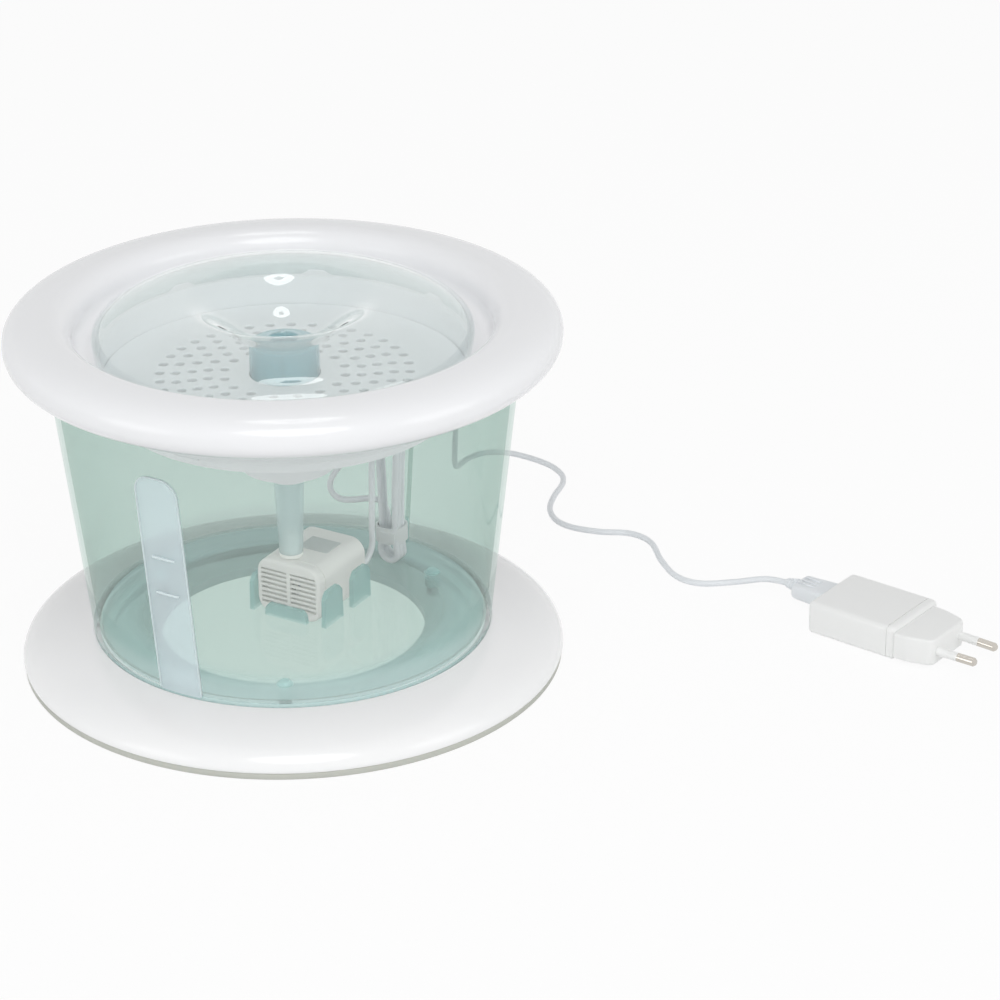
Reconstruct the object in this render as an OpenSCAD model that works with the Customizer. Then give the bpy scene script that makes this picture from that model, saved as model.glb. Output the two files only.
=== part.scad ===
// Pet water fountain: a clear tank on a weighted skirt, with a lift-off drinking bowl,
// a filter, a dome that the water runs over, a submersible pump and a plug-in charger.
// Origin: centre of the base on the table.  Front is -Y, the lead leaves at +Y.

/* [Base] */
// Outer diameter of the white base skirt
base_d = 240; // [228:1:250]
// Height of the skirt where it meets the tank
base_h = 17.5; // [16:0.5:20]
// Wall of the skirt
base_wall = 2.4; // [1.8:0.1:3]
// Height of the ledge that the tank stands on
seat_z = 13; // [12.5:0.1:14]
// Height of the rubber anti-slip ring
rubber_h = 3.2; // [2.4:0.2:4]
// Width of the rubber anti-slip ring
rubber_w = 7; // [5:0.5:10]
// Inner diameter of the clamp ring under the tank
clamp_hole_d = 117; // [100:1:124]
// Diameter of the circle of screw bosses
boss_pcd = 141.6; // [138:0.2:146]
// Shank diameter of a base screw
screw_d = 2.9; // [2.5:0.1:3.5]
// Length of a base screw's shank
screw_l = 6; // [5:0.2:7.4]

/* [Tank] */
// Outer diameter of the tank at the ledge
tank_d_low = 175.2; // [170:0.4:180]
// Outer diameter of the tank at its rim
tank_d_top = 203.8; // [200:0.2:206]
// Height of the tank from ledge to rim
tank_h = 128; // [120:1:140]
// Wall of the tank
tank_wall = 2.4; // [1.8:0.1:2.6]
// Height of the tank floor above the table
floor_z = 19.5; // [18.5:0.1:21]
// Thickness of the tank floor
floor_t = 2.5; // [2:0.1:3.5]
// Width of the clear level window
window_w = 21; // [14:1:28]
// Height of the clear level window
window_h = 105.6; // [80:0.4:112]
// Depth of the window's pocket in the wall
window_t = 1.1; // [0.8:0.1:1.3]

/* [Drinking bowl] */
// Outer diameter of the fat drinking ring
ring_d = 240; // [236:1:252]
// Radius of the middle of the ring's roll
roll_r = 101.2; // [99:0.2:103]
// Height of the roll's middle above the tank rim
roll_z = 12; // [10:0.5:14]
// Half height of the roll
roll_h = 10.5; // [9.5:0.5:12]
// Wall of the bowl
bowl_wall = 2.4; // [2:0.1:2.8]
// Width of the drinking channel round the dome
channel_w = 8.1; // [7:0.1:9]
// Height of the channel floor above the tank rim
channel_z = 6; // [5:0.5:7]
// Width of the shelf between the filter well and the dome's seat
well_step = 7.2; // [6:0.2:11]
// Depth of the cover's ledge below the channel floor
cover_deep = 15.6; // [13:0.2:17]
// Depth of the filter well's floor below the cover's ledge
well_deep = 9; // [7:0.2:11]
// Diameter of the bowl's central cup
cup_d = 36.8; // [34:0.4:44]
// Depth of the central cup below the well floor
cup_deep = 29.6; // [25:0.2:34]

/* [Filter] */
// Thickness of the filter pad
pad_t = 8.6; // [5:0.1:8.8]
// Thickness of the perforated cover
cover_t = 2; // [1.6:0.1:3]
// Radius of the outermost ring of holes
holes_r = 54; // [48:1:62]
// Number of rings of holes
hole_rings = 5; // [3:1:5]
// Diameter of one hole
hole_d = 4.6; // [3.6:0.2:5]

/* [Dome] */
// Diameter of the dome at its rim
dome_d = 164.8; // [160:0.4:168]
// Height of the dome's upright skirt
dome_skirt_h = 5; // [4:0.5:7]
// Height of the dome's crest above its skirt
dome_rise = 15; // [12:0.5:20]
// Radius of the dome's crest
crest_r = 44; // [40:1:50]
// Radius of the dimple's flat floor
dimple_r = 9; // [8:0.2:12]
// Depth of the dimple below the crest
dimple = 17.2; // [14:0.2:18]
// Wall of the dome
dome_wall = 2.2; // [1.6:0.1:2.6]
// Diameter of the water outlet in the dimple
outlet_d = 12.4; // [8:0.2:13]
// Diameter of the hub below the dimple
hub_d = 30.4; // [24:0.4:34]

/* [Pump] */
// Width of the pump
pump_w = 33; // [30:0.5:34]
// Depth of the pump, front to back
pump_l = 37.5; // [35:0.5:44]
// Height of the pump
pump_h = 26.5; // [25:0.5:32]
// Distance of the outlet behind the pump's face
outlet_back = 8.5; // [7.5:0.1:9]
// Distance of the outlet to the left of the pump's middle
outlet_side = 3.4; // [3:0.1:6]
// Outer diameter of the outlet nozzle
nozzle_d = 6.8; // [6:0.1:6.8]
// Outer diameter of the riser tube
riser_d = 13.4; // [12.8:0.1:13.4]
// Outer diameter of the riser tube's lower end
riser_foot_d = 10.6; // [10.6:0.1:12]
// Height of the riser tube's tapered foot
riser_taper = 34; // [26:1:36]
// Wall of the riser tube
riser_wall = 1.8; // [1.4:0.1:1.8]
// Outer diameter of the impeller
impeller_d = 15; // [12:0.5:16]
// Number of impeller blades
blades = 5; // [3:1:6]
// Diameter of the impeller's shaft
shaft_d = 2; // [1.6:0.2:2.4]

/* [Lead and charger] */
// Diameter of the lead
lead_d = 2.8; // [2.4:0.2:3.2]
// Length of the charger's body
charger_l = 46; // [42:1:52]
// Width of the charger's body
charger_w = 37; // [34:1:40]
// Height of the charger's body
charger_h = 16; // [14.4:0.2:18]
// Spacing of the two plug pins at their roots
pin_pitch = 18.6; // [18:0.1:19.2]
// Diameter of a plug pin
pin_d = 4; // [3.9:0.1:4.1]
// Length of a plug pin
pin_l = 19; // [18:0.5:19.5]

/* [Hidden] */

$fn = 96;
eps = 0.01;

// Clearances
fit = 0.3;        // between pieces that lift apart
seat_gap = 0.3;   // under pieces that lift off their seat
run_fit = 0.05;   // between the turning impeller and its shaft

// Base
base_r = base_d / 2;
ledge_in = tank_d_low / 2 - 2.8;       // inner edge of the ledge, under the tank wall
ledge_t = 2.4;
collar_r = tank_r(base_h) + 0.2;       // skirt's inner edge, round the tank
clamp_t = 2.4;
clamp_lip = 4;                         // depth of the clamp ring's thick inner lip
boss_r = 3.35;
boss_top = floor_z + 1.5;
screw_head_d = 5.6;
screw_head_h = 1.9;
screw_angles = [30, 150, 270];         // from the front, towards +X

// Tank
rim_z = seat_z + tank_h;
bead_t = 1.3;                          // rim bead, proud of the wall
bead_h = 3;
back_turn = 3.5;                       // the lead's notch stands a little to the right of +Y
notch_w = 5.2;                         // notch for the lead in the rim
notch_z = rim_z - 3.2;                 // middle of the lead in the notch
neck_fit = 0.1;
flange_t = 2;                          // flanges of the lead's grommet
guide_w = 8;                           // between the ribs' middles
guide_t = 4;
window_r = 8;                          // corner radius of the window's top
mark_z = [seat_z + 0.427 * tank_h, seat_z + 0.5625 * tank_h]; // level marks on the window
mark_t = 1.2;
mark_w = 11;

// Bowl, from the rim up
crest_z = rim_z + roll_z + roll_h;
roll_mid_z = rim_z + roll_z;
roll_out = ring_d / 2 - roll_r;        // half width of the roll, outer side
roll_e = 2.3;                          // squareness of the roll
dome_r = dome_d / 2;
channel_r = dome_r + channel_w;          // outer wall of the drinking channel
channel_floor = rim_z + channel_z;
roll_in = roll_r - channel_r;          // half width of the roll, inner side
channel_round = roll_mid_z - channel_floor;
ledge_step_r = dome_r - 3.4;           // inner edge of the ledge that the dome stands on
cover_z = channel_floor - cover_deep;  // top of the ledge that the cover lies on
well_r = ledge_step_r - well_step;
well_draft = 1.7;                      // the well opens this much towards its top
well_z = cover_z - well_deep;          // top of the well floor
cup_r = cup_d / 2;
cup_z = well_z - cup_deep;             // top of the cup floor
riser_r = riser_d / 2;
collar_bore = riser_r + fit;           // bore that the riser slides through
collar_out = collar_bore + 1.6;
collar_z = cup_z - bowl_wall - 6.4;    // lower end of the collar
rib_t = 2;                             // rib that keeps the bowl central in the tank
rib_r = tank_d_top / 2 - tank_wall - 0.6 - rib_t;
rib_deep = 4;
rest_r = tank_d_top / 2 + 0.6;         // flange that rests on the tank's rim
tray_r = ledge_step_r - fit;
tray_seat_z = cover_z - bowl_wall;     // ledge of the bowl that the filter tray hangs on
tray_in = well_r + well_draft + bowl_wall + 0.5;
clip_w = 12;                           // clips that hold the tray under the ledge
clip_h = 3;
clip_angles = [0, 120, 240];

// Filter and dome
cover_r = ledge_step_r - fit;
cover_low = cover_z + seat_gap;
hub_r = hub_d / 2;
hub_low = cover_z - 1;
hub_wall = 1.8;
hub_stop = riser_r - 0.7;              // step in the hub above the riser's end
dome_low = channel_floor + seat_gap;
dome_rim_z = dome_low + dome_skirt_h;
dome_crest_z = dome_rim_z + dome_rise;
dimple_z = dome_crest_z - dimple;      // outside of the dimple's floor
gate_w = 10;                           // returns for the water in the dome's foot
gate_h = 2.2;
hub_top = dimple_z - dome_wall;
riser_top = hub_top - 3;
riser_low = floor_z + pump_h + 2;

// Pump, in its own frame: outlet over the origin, face at -Y
pump_x = outlet_side;                  // middle of the pump
face_y = -outlet_back;
back_y = face_y + pump_l;
pump_top = floor_z + pump_h;
shaft_z = floor_z + pump_h / 2;
pump_round = 7;
tab_gap = 0.8;                         // between the pump and its cradle
tab_play = 1.6;                        // the same on the side where the lead goes in
tab_t = 2.2;                           // side tabs and end stops of the cradle
tab_w = 14.6;
tab_h = 17;
stop_w = 21.6;
stop_h = 6.3;
shell_t = 1.6;
nozzle_r = nozzle_d / 2;
volute_t = 0.8;
chamber_y0 = -nozzle_r - 0.1;          // front of the housing, just ahead of the nozzle
volute_y = chamber_y0 - volute_t;      // front of the plate behind the grille cover
chamber_y1 = 4.4;
chamber_r = impeller_d / 2 + 1;
magnet_r = 4.6;
magnet_y1 = back_y - 9;
well_gap = 0.4;
bush_r = 1.9;
bush_l = 2;
nozzle_bore = nozzle_r - 1.2;
nozzle_h = 11;
impeller_y0 = chamber_y0 + 0.7;
impeller_y1 = chamber_y1 - 0.4;
gland_x = pump_x + 11.6;
gland_z = floor_z + 10.5;
gland_r = 2.6;
gland_l = 6;

// Lead: points chosen by hand, millimetres
lead_r = lead_d / 2;
pump_route = [
    [15, 35, 30], [15, 39, 31], [15, 43, 36], [14.5, 44, 43], [14, 45, 51],
    [13, 48, 58], [11.5, 52, 64], [9.5, 54, 71], [10, 57, 80]
];
rim_route = [
    [8, 60, 48], [3, 58, 50], [-2, 53, 50], [-7, 50, 51], [-10.5, 49, 55], [-10, 49, 60],
    [-8, 51, 65], [-4, 55, 72], [-1, 63, 83], [2, 72, 98], [4, 80, 113], [6, 88, 128],
    [6, 93, 136], [6, 98, 137.8]
];
outer_route = [
    [6.5, 105, 137.8], [6, 114, 137.8], [4, 124, 136], [1, 134, 130], [-2, 143, 117],
    [-5, 150, 101], [-8, 156, 82], [-11, 162, 63], [-14, 167, 44], [-19, 174, 25],
    [-25, 184, 11], [-31, 197, 3], [-33, 210, 1.4], [-29, 220, 1.4], [-19, 225.5, 1.4],
    [-6, 225.5, 1.4], [7, 222.5, 1.4], [17, 216, 1.4], [22.5, 207, 1.4], [26, 192, 1.4],
    [31, 179, 1.4], [39.5, 169.5, 1.4], [50, 166, 1.4], [64, 168, 1.4], [78, 173.5, 1.4],
    [91, 169.5, 1.4], [104, 155, 1.4], [118, 143.5, 1.4], [131, 142, 1.6], [146, 147.5, 3.6],
    [160, 151, 7], [172, 150.5, 8]
];
hank_mid = [15, 60, 60];
hank_w = 16;
hank_h = 78;
hank_t = 11;
tie_z = 36;
tie_h = 8;

// Charger, in its own frame: long axis along +X
charger_at = [219, 139, 0];
charger_turn = -8;
charger_round = 3;
port_y = 5;                            // USB port, off the charger's middle
port_z = 8;
plug_l = 20;
plug_w = 15.6;
plug_t = 8;
relief_l = 6;
shell_w = 12;
shell_h = 4.5;
shell_l = 11.7;
socket_fit = 0.3;
nose_y = -2;
nose_l = 18;
nose_w = 34;
nose_tip_w = 27;
nose_h = 12.6;
sleeve_l = 10;
pin_toe = 1.6;                         // the pins draw together towards their tips

// ---------- Helpers ----------

// Outer radius of the tank wall at a height above the table
function tank_r(z) = (tank_d_low + (tank_d_top - tank_d_low) * (z - seat_z) / tank_h) / 2;

// Points on an elliptical arc, squarer than an ellipse where e is over 2
function arc(c, rx, rz, a0, a1, n = 8, e = 2) = [
    for (i = [0 : n]) let(a = a0 + (a1 - a0) * i / n)
        [c[0] + rx * sign(cos(a)) * pow(abs(cos(a)), 2 / e), c[1] + rz * sign(sin(a)) * pow(abs(sin(a)), 2 / e)]
];

// Height of the dome's dimple at a radius, above its floor
function dimple_at(r) = dimple * (1 - cos(180 * (r - dimple_r) / (crest_r - dimple_r))) / 2;

function unit(v) = v / norm(v);

// Point on a smooth curve through p1 and p2, with neighbours p0 and p3
function spline(p0, p1, p2, p3, t) = 0.5 * (
    2 * p1 + (p2 - p0) * t + (2 * p0 - 5 * p1 + 4 * p2 - p3) * t * t
    + (3 * p1 - p0 - 3 * p2 + p3) * t * t * t);

// Route with extra points between the given ones
function smooth(p, k) = [
    for (i = [0 : len(p) - 2], j = [0 : k - 1])
        spline(p[max(i - 1, 0)], p[i], p[i + 1], p[min(i + 2, len(p) - 1)], j / k),
    p[len(p) - 1]
];

// Direction of the route at point i
function along(p, i) = unit(p[min(i + 1, len(p) - 1)] - p[max(i - 1, 0)]);

// A normal for each point, carried along the route without twisting
function carried(p, i, n) =
    let(t = along(p, i), m = unit(n - (n * t) * t))
    i == len(p) - 1 ? [m] : concat([m], carried(p, i + 1, m));

// Tube of radius r swept along route p
module tube(p, r, sides = 8, first = [0, 0, 1]) {
    normals = carried(p, 0, first);
    rings = [
        for (i = [0 : len(p) - 1]) let(n = normals[i], b = cross(along(p, i), n))
            for (k = [0 : sides - 1]) p[i] + r * (cos(360 * k / sides) * n + sin(360 * k / sides) * b)
    ];
    last = (len(p) - 1) * sides;
    walls = [
        for (i = [0 : len(p) - 2], k = [0 : sides - 1]) let(a = i * sides, q = (k + 1) % sides)
            [a + k, a + q, a + sides + q, a + sides + k]
    ];
    ends = [[for (k = [sides - 1 : -1 : 0]) k], [for (k = [0 : sides - 1]) last + k]];
    polyhedron(points = rings, faces = concat(walls, ends), convexity = 6);
}

// Flat plate with round corners, centred
module rounded(w, h, r) {
    square([w - 2 * r, h], center = true);
    square([w, h - 2 * r], center = true);
    for (x = [-1, 1], y = [-1, 1]) translate([x * (w / 2 - r), y * (h / 2 - r)]) circle(r, $fn = 32);
}

// Bar along Y from y0 to y1 with a rounded section
module bar_y(w, h, r, y0, y1) {
    translate([0, y1, 0]) rotate([90, 0, 0]) linear_extrude(y1 - y0) rounded(w, h, r);
}

// Cylinder along Y from y0 to y1
module rod_y(r, y0, y1) {
    translate([0, y1, 0]) rotate([90, 0, 0]) cylinder(r = r, h = y1 - y0);
}

// Turned from +Y to where the lead leaves
module at_back() {
    rotate(-back_turn) children();
}

// Angle a measured from the front, towards +X
module at_angle(a, r) {
    rotate(a - 90) translate([r, 0, 0]) children();
}

// ---------- Base ----------

module base_skirt() {
    rubber_in = base_r - 0.6 - rubber_w;
    color("white") rotate_extrude() polygon(concat(
        [[base_r - base_wall, rubber_h], [base_r - 0.3, rubber_h]],
        arc([collar_r, rubber_h + 1], base_r - collar_r, base_h - rubber_h - 1, 0, 90, 12),
        [[collar_r, seat_z], [ledge_in, seat_z], [ledge_in, seat_z - ledge_t]],
        [[collar_r + base_wall, seat_z - ledge_t]],
        arc([collar_r + base_wall, rubber_h], base_r - collar_r - 2 * base_wall,
            base_h - rubber_h - base_wall, 90, 0, 10)
    ));
    // web that the rubber ring is glued to
    color("white") translate([0, 0, rubber_h]) difference() {
        cylinder(r = base_r - base_wall + 0.2, h = 1.6);
        translate([0, 0, -1]) cylinder(r = rubber_in, h = 4);
    }
}

module anti_slip_ring() {
    color("silver") difference() {
        cylinder(r = base_r - 0.5, h = rubber_h);
        translate([0, 0, -1]) cylinder(r = base_r - 0.5 - rubber_w, h = rubber_h + 2);
    }
}

module clamp_ring() {
    top = seat_z;
    under = seat_z - ledge_t;
    out_r = collar_r + 0.8;
    in_r = clamp_hole_d / 2;
    color("cadetblue", 0.6) difference() {
        rotate_extrude() polygon([
            [in_r, top - clamp_lip], [in_r + 2.4, top - clamp_lip], [in_r + 2.4, top - clamp_t],
            [ledge_in - 4, top - clamp_t], [ledge_in - 4, under - clamp_t], [out_r, under - clamp_t],
            [out_r, under], [ledge_in - 0.4, under], [ledge_in - 0.4, top], [in_r, top]
        ]);
        for (a = screw_angles) at_angle(a, boss_pcd / 2) translate([0, 0, under - clamp_t - 1])
            cylinder(d = screw_d + 0.4, h = 8, $fn = 32);
    }
}

module base_screws() {
    under = seat_z - clamp_t;
    color("silver") for (a = screw_angles) at_angle(a, boss_pcd / 2) difference() {
        union() {
            translate([0, 0, under - screw_head_h]) cylinder(d = screw_head_d, h = screw_head_h, $fn = 32);
            translate([0, 0, under - eps]) cylinder(d = screw_d, h = screw_l + eps, $fn = 32);
        }
        for (t = [0, 90]) rotate(t) translate([0, 0, under - screw_head_h + 0.4])
            cube([3, 0.8, 1.4], center = true);
    }
}

// ---------- Tank ----------

// Outline of the level window, seen from the front, from the ledge up
module window_outline(grow) {
    w = window_w + 2 * grow;
    h = window_h + grow;
    translate([-w / 2, 0]) square([w, h - window_r]);
    translate([-w / 2 + window_r, 0]) square([w - 2 * window_r, h]);
    for (s = [-1, 1]) translate([s * (w / 2 - window_r), h - window_r]) circle(window_r, $fn = 48);
}

// The window's space in the front of the wall, from radius inside to radius outside
module window_space(inside, outside, grow = 0) {
    z0 = seat_z;
    z1 = rim_z;
    intersection() {
        rotate_extrude() polygon([
            [tank_r(z0) - inside, z0], [tank_r(z0) + outside, z0],
            [tank_r(z1) + outside, z1], [tank_r(z1) - inside, z1]
        ]);
        translate([0, -tank_r(z0) / 2, base_h + 0.6]) rotate([90, 0, 0])
            linear_extrude(tank_r(z1)) window_outline(grow);
    }
}

module cradle_tab(w, h) {
    // w along Y, with its top corners cut off
    cut = min(3, h / 3);
    rotate([90, 0, 90]) linear_extrude(tab_t) polygon([
        [-w / 2, -eps], [w / 2, -eps], [w / 2 - 0.4, h - cut], [w / 2 - cut, h], [cut - w / 2, h], [0.4 - w / 2, h - cut]
    ]);
}

module tank() {
    z0 = seat_z;
    r0 = tank_r(z0);
    wall_in = r0 - tank_wall;
    color("cadetblue", 0.45) difference() {
        union() {
            // wall, with a bead round the rim
            rotate_extrude() polygon([
                [wall_in, z0], [r0, z0], [tank_r(rim_z - bead_h), rim_z - bead_h],
                [tank_r(rim_z) + bead_t, rim_z - bead_h + 0.8], [tank_r(rim_z) + bead_t, rim_z - 0.8],
                [tank_r(rim_z) + bead_t - 0.8, rim_z], [tank_r(rim_z) - tank_wall, rim_z]
            ]);
            // floor
            translate([0, 0, floor_z - floor_t])
                cylinder(r = tank_r(floor_z - floor_t) - 1, h = floor_t);
            // screw bosses, blind and domed above the floor
            for (a = screw_angles) at_angle(a, boss_pcd / 2) {
                translate([0, 0, seat_z]) cylinder(r = boss_r, h = floor_z + 0.4 - seat_z, $fn = 40);
                translate([0, 0, floor_z + 0.4 - eps])
                    cylinder(r1 = boss_r, r2 = boss_r - 1.2, h = boss_top - floor_z - 0.4, $fn = 40);
            }
            cradle();
            cable_guide();
        }
        window_space(window_t, 2);
        for (a = screw_angles) at_angle(a, boss_pcd / 2) translate([0, 0, seat_z - 1])
            cylinder(d = screw_d + 0.1, h = screw_l - clamp_t + 1.6, $fn = 32);
        // notch for the lead in the back of the rim
        at_back() {
            translate([-notch_w / 2, tank_r(rim_z) - 8, notch_z]) cube([notch_w, 16, 10]);
            translate([0, tank_r(rim_z) + 8, notch_z]) rotate([90, 0, 0]) cylinder(d = notch_w, h = 16, $fn = 32);
        }
    }
}

// Tabs on the floor that the pump stands between
module cradle() {
    left = pump_x - pump_w / 2 - tab_gap;
    right = pump_x + pump_w / 2 + tab_play;
    translate([0, 0, floor_z]) {
        for (y = [face_y + 5.5, back_y - 9]) {
            translate([right, y, 0]) cradle_tab(tab_w, tab_h);
            translate([left - tab_t, y, 0]) cradle_tab(tab_w, tab_h);
        }
        for (end = [[face_y - tab_gap, -90], [back_y + tab_gap, 90]])
            translate([pump_x, end[0], 0]) rotate(end[1]) cradle_tab(stop_w, stop_h);
    }
}

// Two ribs up the back wall that guide the lead to its notch
module cable_guide() {
    top = rim_z - 9;
    for (s = [-1, 1]) intersection() {
        rotate_extrude() polygon([
            [tank_r(floor_z) - tank_wall - guide_t, floor_z - 1], [tank_r(floor_z) - 1, floor_z - 1],
            [tank_r(top) - 1, top], [tank_r(top) - tank_wall, top],
            [tank_r(top) - tank_wall - guide_t, top - guide_t]
        ]);
        at_back() translate([s * guide_w / 2 - 0.9, tank_r(floor_z) / 2, 0])
            cube([1.8, tank_r(rim_z), rim_z]);
    }
}

module level_window() {
    color("aliceblue", 0.5) {
        window_space(window_t - 0.05, -0.1, -0.1);
        // two level marks
        for (z = mark_z) intersection() {
            window_space(window_t - 0.3, 0.35, -0.05);
            translate([-mark_w / 2, -tank_r(z) - 3 * tank_wall, z - mark_t / 2])
                cube([mark_w, 6 * tank_wall, mark_t]);
        }
    }
}

module rim_grommet() {
    flange_r = notch_w / 2 + 0.7;
    neck = notch_w - 2 * neck_fit;
    inner = tank_r(notch_z - flange_r) - tank_wall - 0.2;
    outer = tank_r(rim_z) + bead_t + 0.2;
    color("whitesmoke") at_back() difference() {
        union() {
            for (y = [inner, outer + flange_t]) translate([0, y, notch_z]) rotate([90, 0, 0])
                cylinder(r = flange_r, h = flange_t, $fn = 32);
            translate([0, outer + 1, notch_z]) rotate([90, 0, 0])
                cylinder(d = neck, h = outer - inner + 2, $fn = 32);
            translate([-neck / 2, inner - 1, notch_z]) cube([neck, outer - inner + 2, rim_z - notch_z]);
        }
        translate([-flange_r, inner - 5, rim_z - 0.2]) cube([2 * flange_r, outer - inner + 10, 4]);
    }
}

// ---------- Drinking bowl ----------

module bowl() {
    w = bowl_wall;
    mid = [roll_r, roll_mid_z];
    fillet = [channel_r - channel_round, roll_mid_z];
    roof = roll_mid_z + roll_h - w / 2;
    color("white") difference() {
        rotate_extrude() {
            polygon(concat(
                // wet side: roll, channel and the step down to the tray's ledge
                arc(mid, roll_out, roll_h, -60, 90, 20, roll_e),
                arc(mid, roll_in, roll_h, 90, 180, 14, roll_e),
                arc(fillet, channel_round, channel_round, 0, -90, 8),
                [
                    [ledge_step_r, channel_floor], [ledge_step_r, tray_seat_z], [tray_in, tray_seat_z],
                    [tray_in, tray_seat_z - w], [ledge_step_r + w, tray_seat_z - w],
                    [ledge_step_r + w, channel_floor - w]
                ],
                // dry side, back under the channel and inside the roll
                arc(fillet, channel_round + w, channel_round + w, -90, 0, 8),
                arc(mid, roll_in - w, roll_h - w, 180, 90, 14, roll_e),
                arc(mid, roll_out - w, roll_h - w, 90, -58, 20, roll_e)
            ));
            // rib inside the roll, with a flange that rests on the tank's rim
            polygon([
                [rib_r, rim_z - rib_deep], [rib_r + rib_t, rim_z - rib_deep], [rib_r + rib_t, rim_z],
                [rest_r, rim_z], [rest_r, rim_z + rib_t], [rib_r + rib_t, rim_z + rib_t],
                [rib_r + rib_t, roof - 0.6], [rib_r, roof - 0.6]
            ]);
        }
        // way for the lead through the rib
        at_back() translate([-notch_w / 2 - 2, rib_r - 3, rim_z - rib_deep - 1])
            cube([notch_w + 4, rib_t + 3.2, rib_deep + 1]);
    }
}

module filter_tray() {
    w = bowl_wall;
    out = well_r + well_draft + w;
    color("white") difference() {
        union() {
            rotate_extrude() polygon([
                [tray_r, cover_z], [well_r + well_draft, cover_z], [well_r, well_z],
                [cup_r + 0.8, well_z], [cup_r, cup_z], [collar_bore, cup_z],
                [collar_bore, collar_z], [collar_out, collar_z], [collar_out, cup_z - w],
                [cup_r + w - 0.2, cup_z - w], [cup_r + w + 0.8, well_z - w],
                [well_r + w, well_z - w], [out, tray_seat_z], [tray_r, tray_seat_z]
            ]);
            // clips that snap under the bowl's ledge
            for (a = clip_angles) at_angle(a, 0) intersection() {
                translate([0, 0, tray_seat_z - w - fit - clip_h]) difference() {
                    cylinder(r1 = out, r2 = out + 2.2, h = clip_h);
                    translate([0, 0, -1]) cylinder(r = well_r + w - 1, h = clip_h + 2);
                }
                translate([out - 6, -clip_w / 2, 0]) cube([12, clip_w, rim_z]);
            }
        }
        // drain slots in the well floor and the cup floor
        for (a = [0 : 45 : 315]) rotate(a) translate([cup_r + 8, -2, well_z - w - 1]) cube([22, 4, w + 2]);
        for (a = [45 : 90 : 315]) rotate(a) translate([collar_out + 1.2, -1.5, cup_z - w - 1])
            cube([5, 3, w + 2]);
    }
}

module filter_pad() {
    color("dimgray") translate([0, 0, well_z]) difference() {
        cylinder(r1 = well_r - fit, r2 = well_r - fit + well_draft * pad_t / well_deep, h = pad_t);
        translate([0, 0, -1]) cylinder(r = cup_r + 1.4, h = pad_t + 2);
    }
}

module filter_cover() {
    pitch = 6.9;
    color("white") difference() {
        translate([0, 0, cover_low]) cylinder(r = cover_r, h = cover_t);
        translate([0, 0, cover_low - 1]) cylinder(r = hub_r + fit, h = cover_t + 2);
        for (k = [0 : hole_rings - 1]) {
            r = holes_r - k * pitch;
            n = floor(2 * 3.1416 * r / 9.4 / 2) * 2;
            for (i = [0 : n - 1]) rotate(360 * (i + (k % 2) / 2) / n) translate([r, 0, cover_low - 1])
                cylinder(d = hole_d, h = cover_t + 2, $fn = 16);
        }
    }
}

module dome() {
    w = dome_wall;
    rim = [crest_r, dome_rim_z];
    span = dome_r - crest_r;
    steps = 12;
    fall = [for (i = [0 : steps]) crest_r + (dimple_r - crest_r) * i / steps];
    color("lightcyan", 0.45) difference() {
        rotate_extrude() polygon(concat(
            [[dome_r - w, dome_low], [dome_r, dome_low]],
            arc(rim, span, dome_rise, 0, 90, 12),
            [for (r = fall) [r, dimple_z + dimple_at(r)]],
            [[outlet_d / 2, dimple_z], [outlet_d / 2, dimple_z - w]],
            [for (i = [steps : -1 : 0]) [fall[i], dimple_z + dimple_at(fall[i]) - w]],
            arc(rim, span - w, dome_rise - w, 90, 0, 12)
        ));
        // returns for the water, in the foot of the skirt
        for (a = [22.5 : 45 : 337.5]) rotate(a) translate([dome_r - 3 * w, -gate_w / 2, dome_low - 1])
            cube([6 * w, gate_w, gate_h + 1]);
    }
}

module dome_hub() {
    sleeve = collar_bore;
    under = hub_top - hub_wall;
    color("cadetblue", 0.6) {
        rotate_extrude() polygon([
            [sleeve, hub_low + hub_wall], [sleeve + hub_wall, hub_low + hub_wall], [sleeve + hub_wall, under],
            [hub_r - hub_wall, under], [hub_r - hub_wall, hub_low], [hub_r, hub_low],
            [hub_r, hub_top - hub_wall / 3], [hub_r - hub_wall / 3, hub_top], [hub_stop, hub_top],
            [hub_stop, under + 0.4], [sleeve, under - 0.4]
        ]);
        // ribs between the sleeve and the wall
        for (a = [0 : 60 : 300]) rotate(a) translate([sleeve + hub_wall / 2, -0.6, hub_low + 2 * hub_wall])
            cube([hub_r - sleeve - hub_wall, 1.2, under - hub_low - 1.5 * hub_wall]);
    }
}

// ---------- Riser and pump ----------

module riser_tube() {
    w = riser_wall;
    foot_r = riser_foot_d / 2;
    knee = riser_low + riser_taper;
    color("cadetblue", 0.5) rotate_extrude() polygon([
        [foot_r - w, riser_low], [foot_r, riser_low], [riser_r, knee], [riser_r, riser_top],
        [riser_r - w, riser_top], [riser_r - w, knee]
    ]);
}

module in_pump() {
    translate([pump_x, 0, shaft_z]) children();
}

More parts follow.
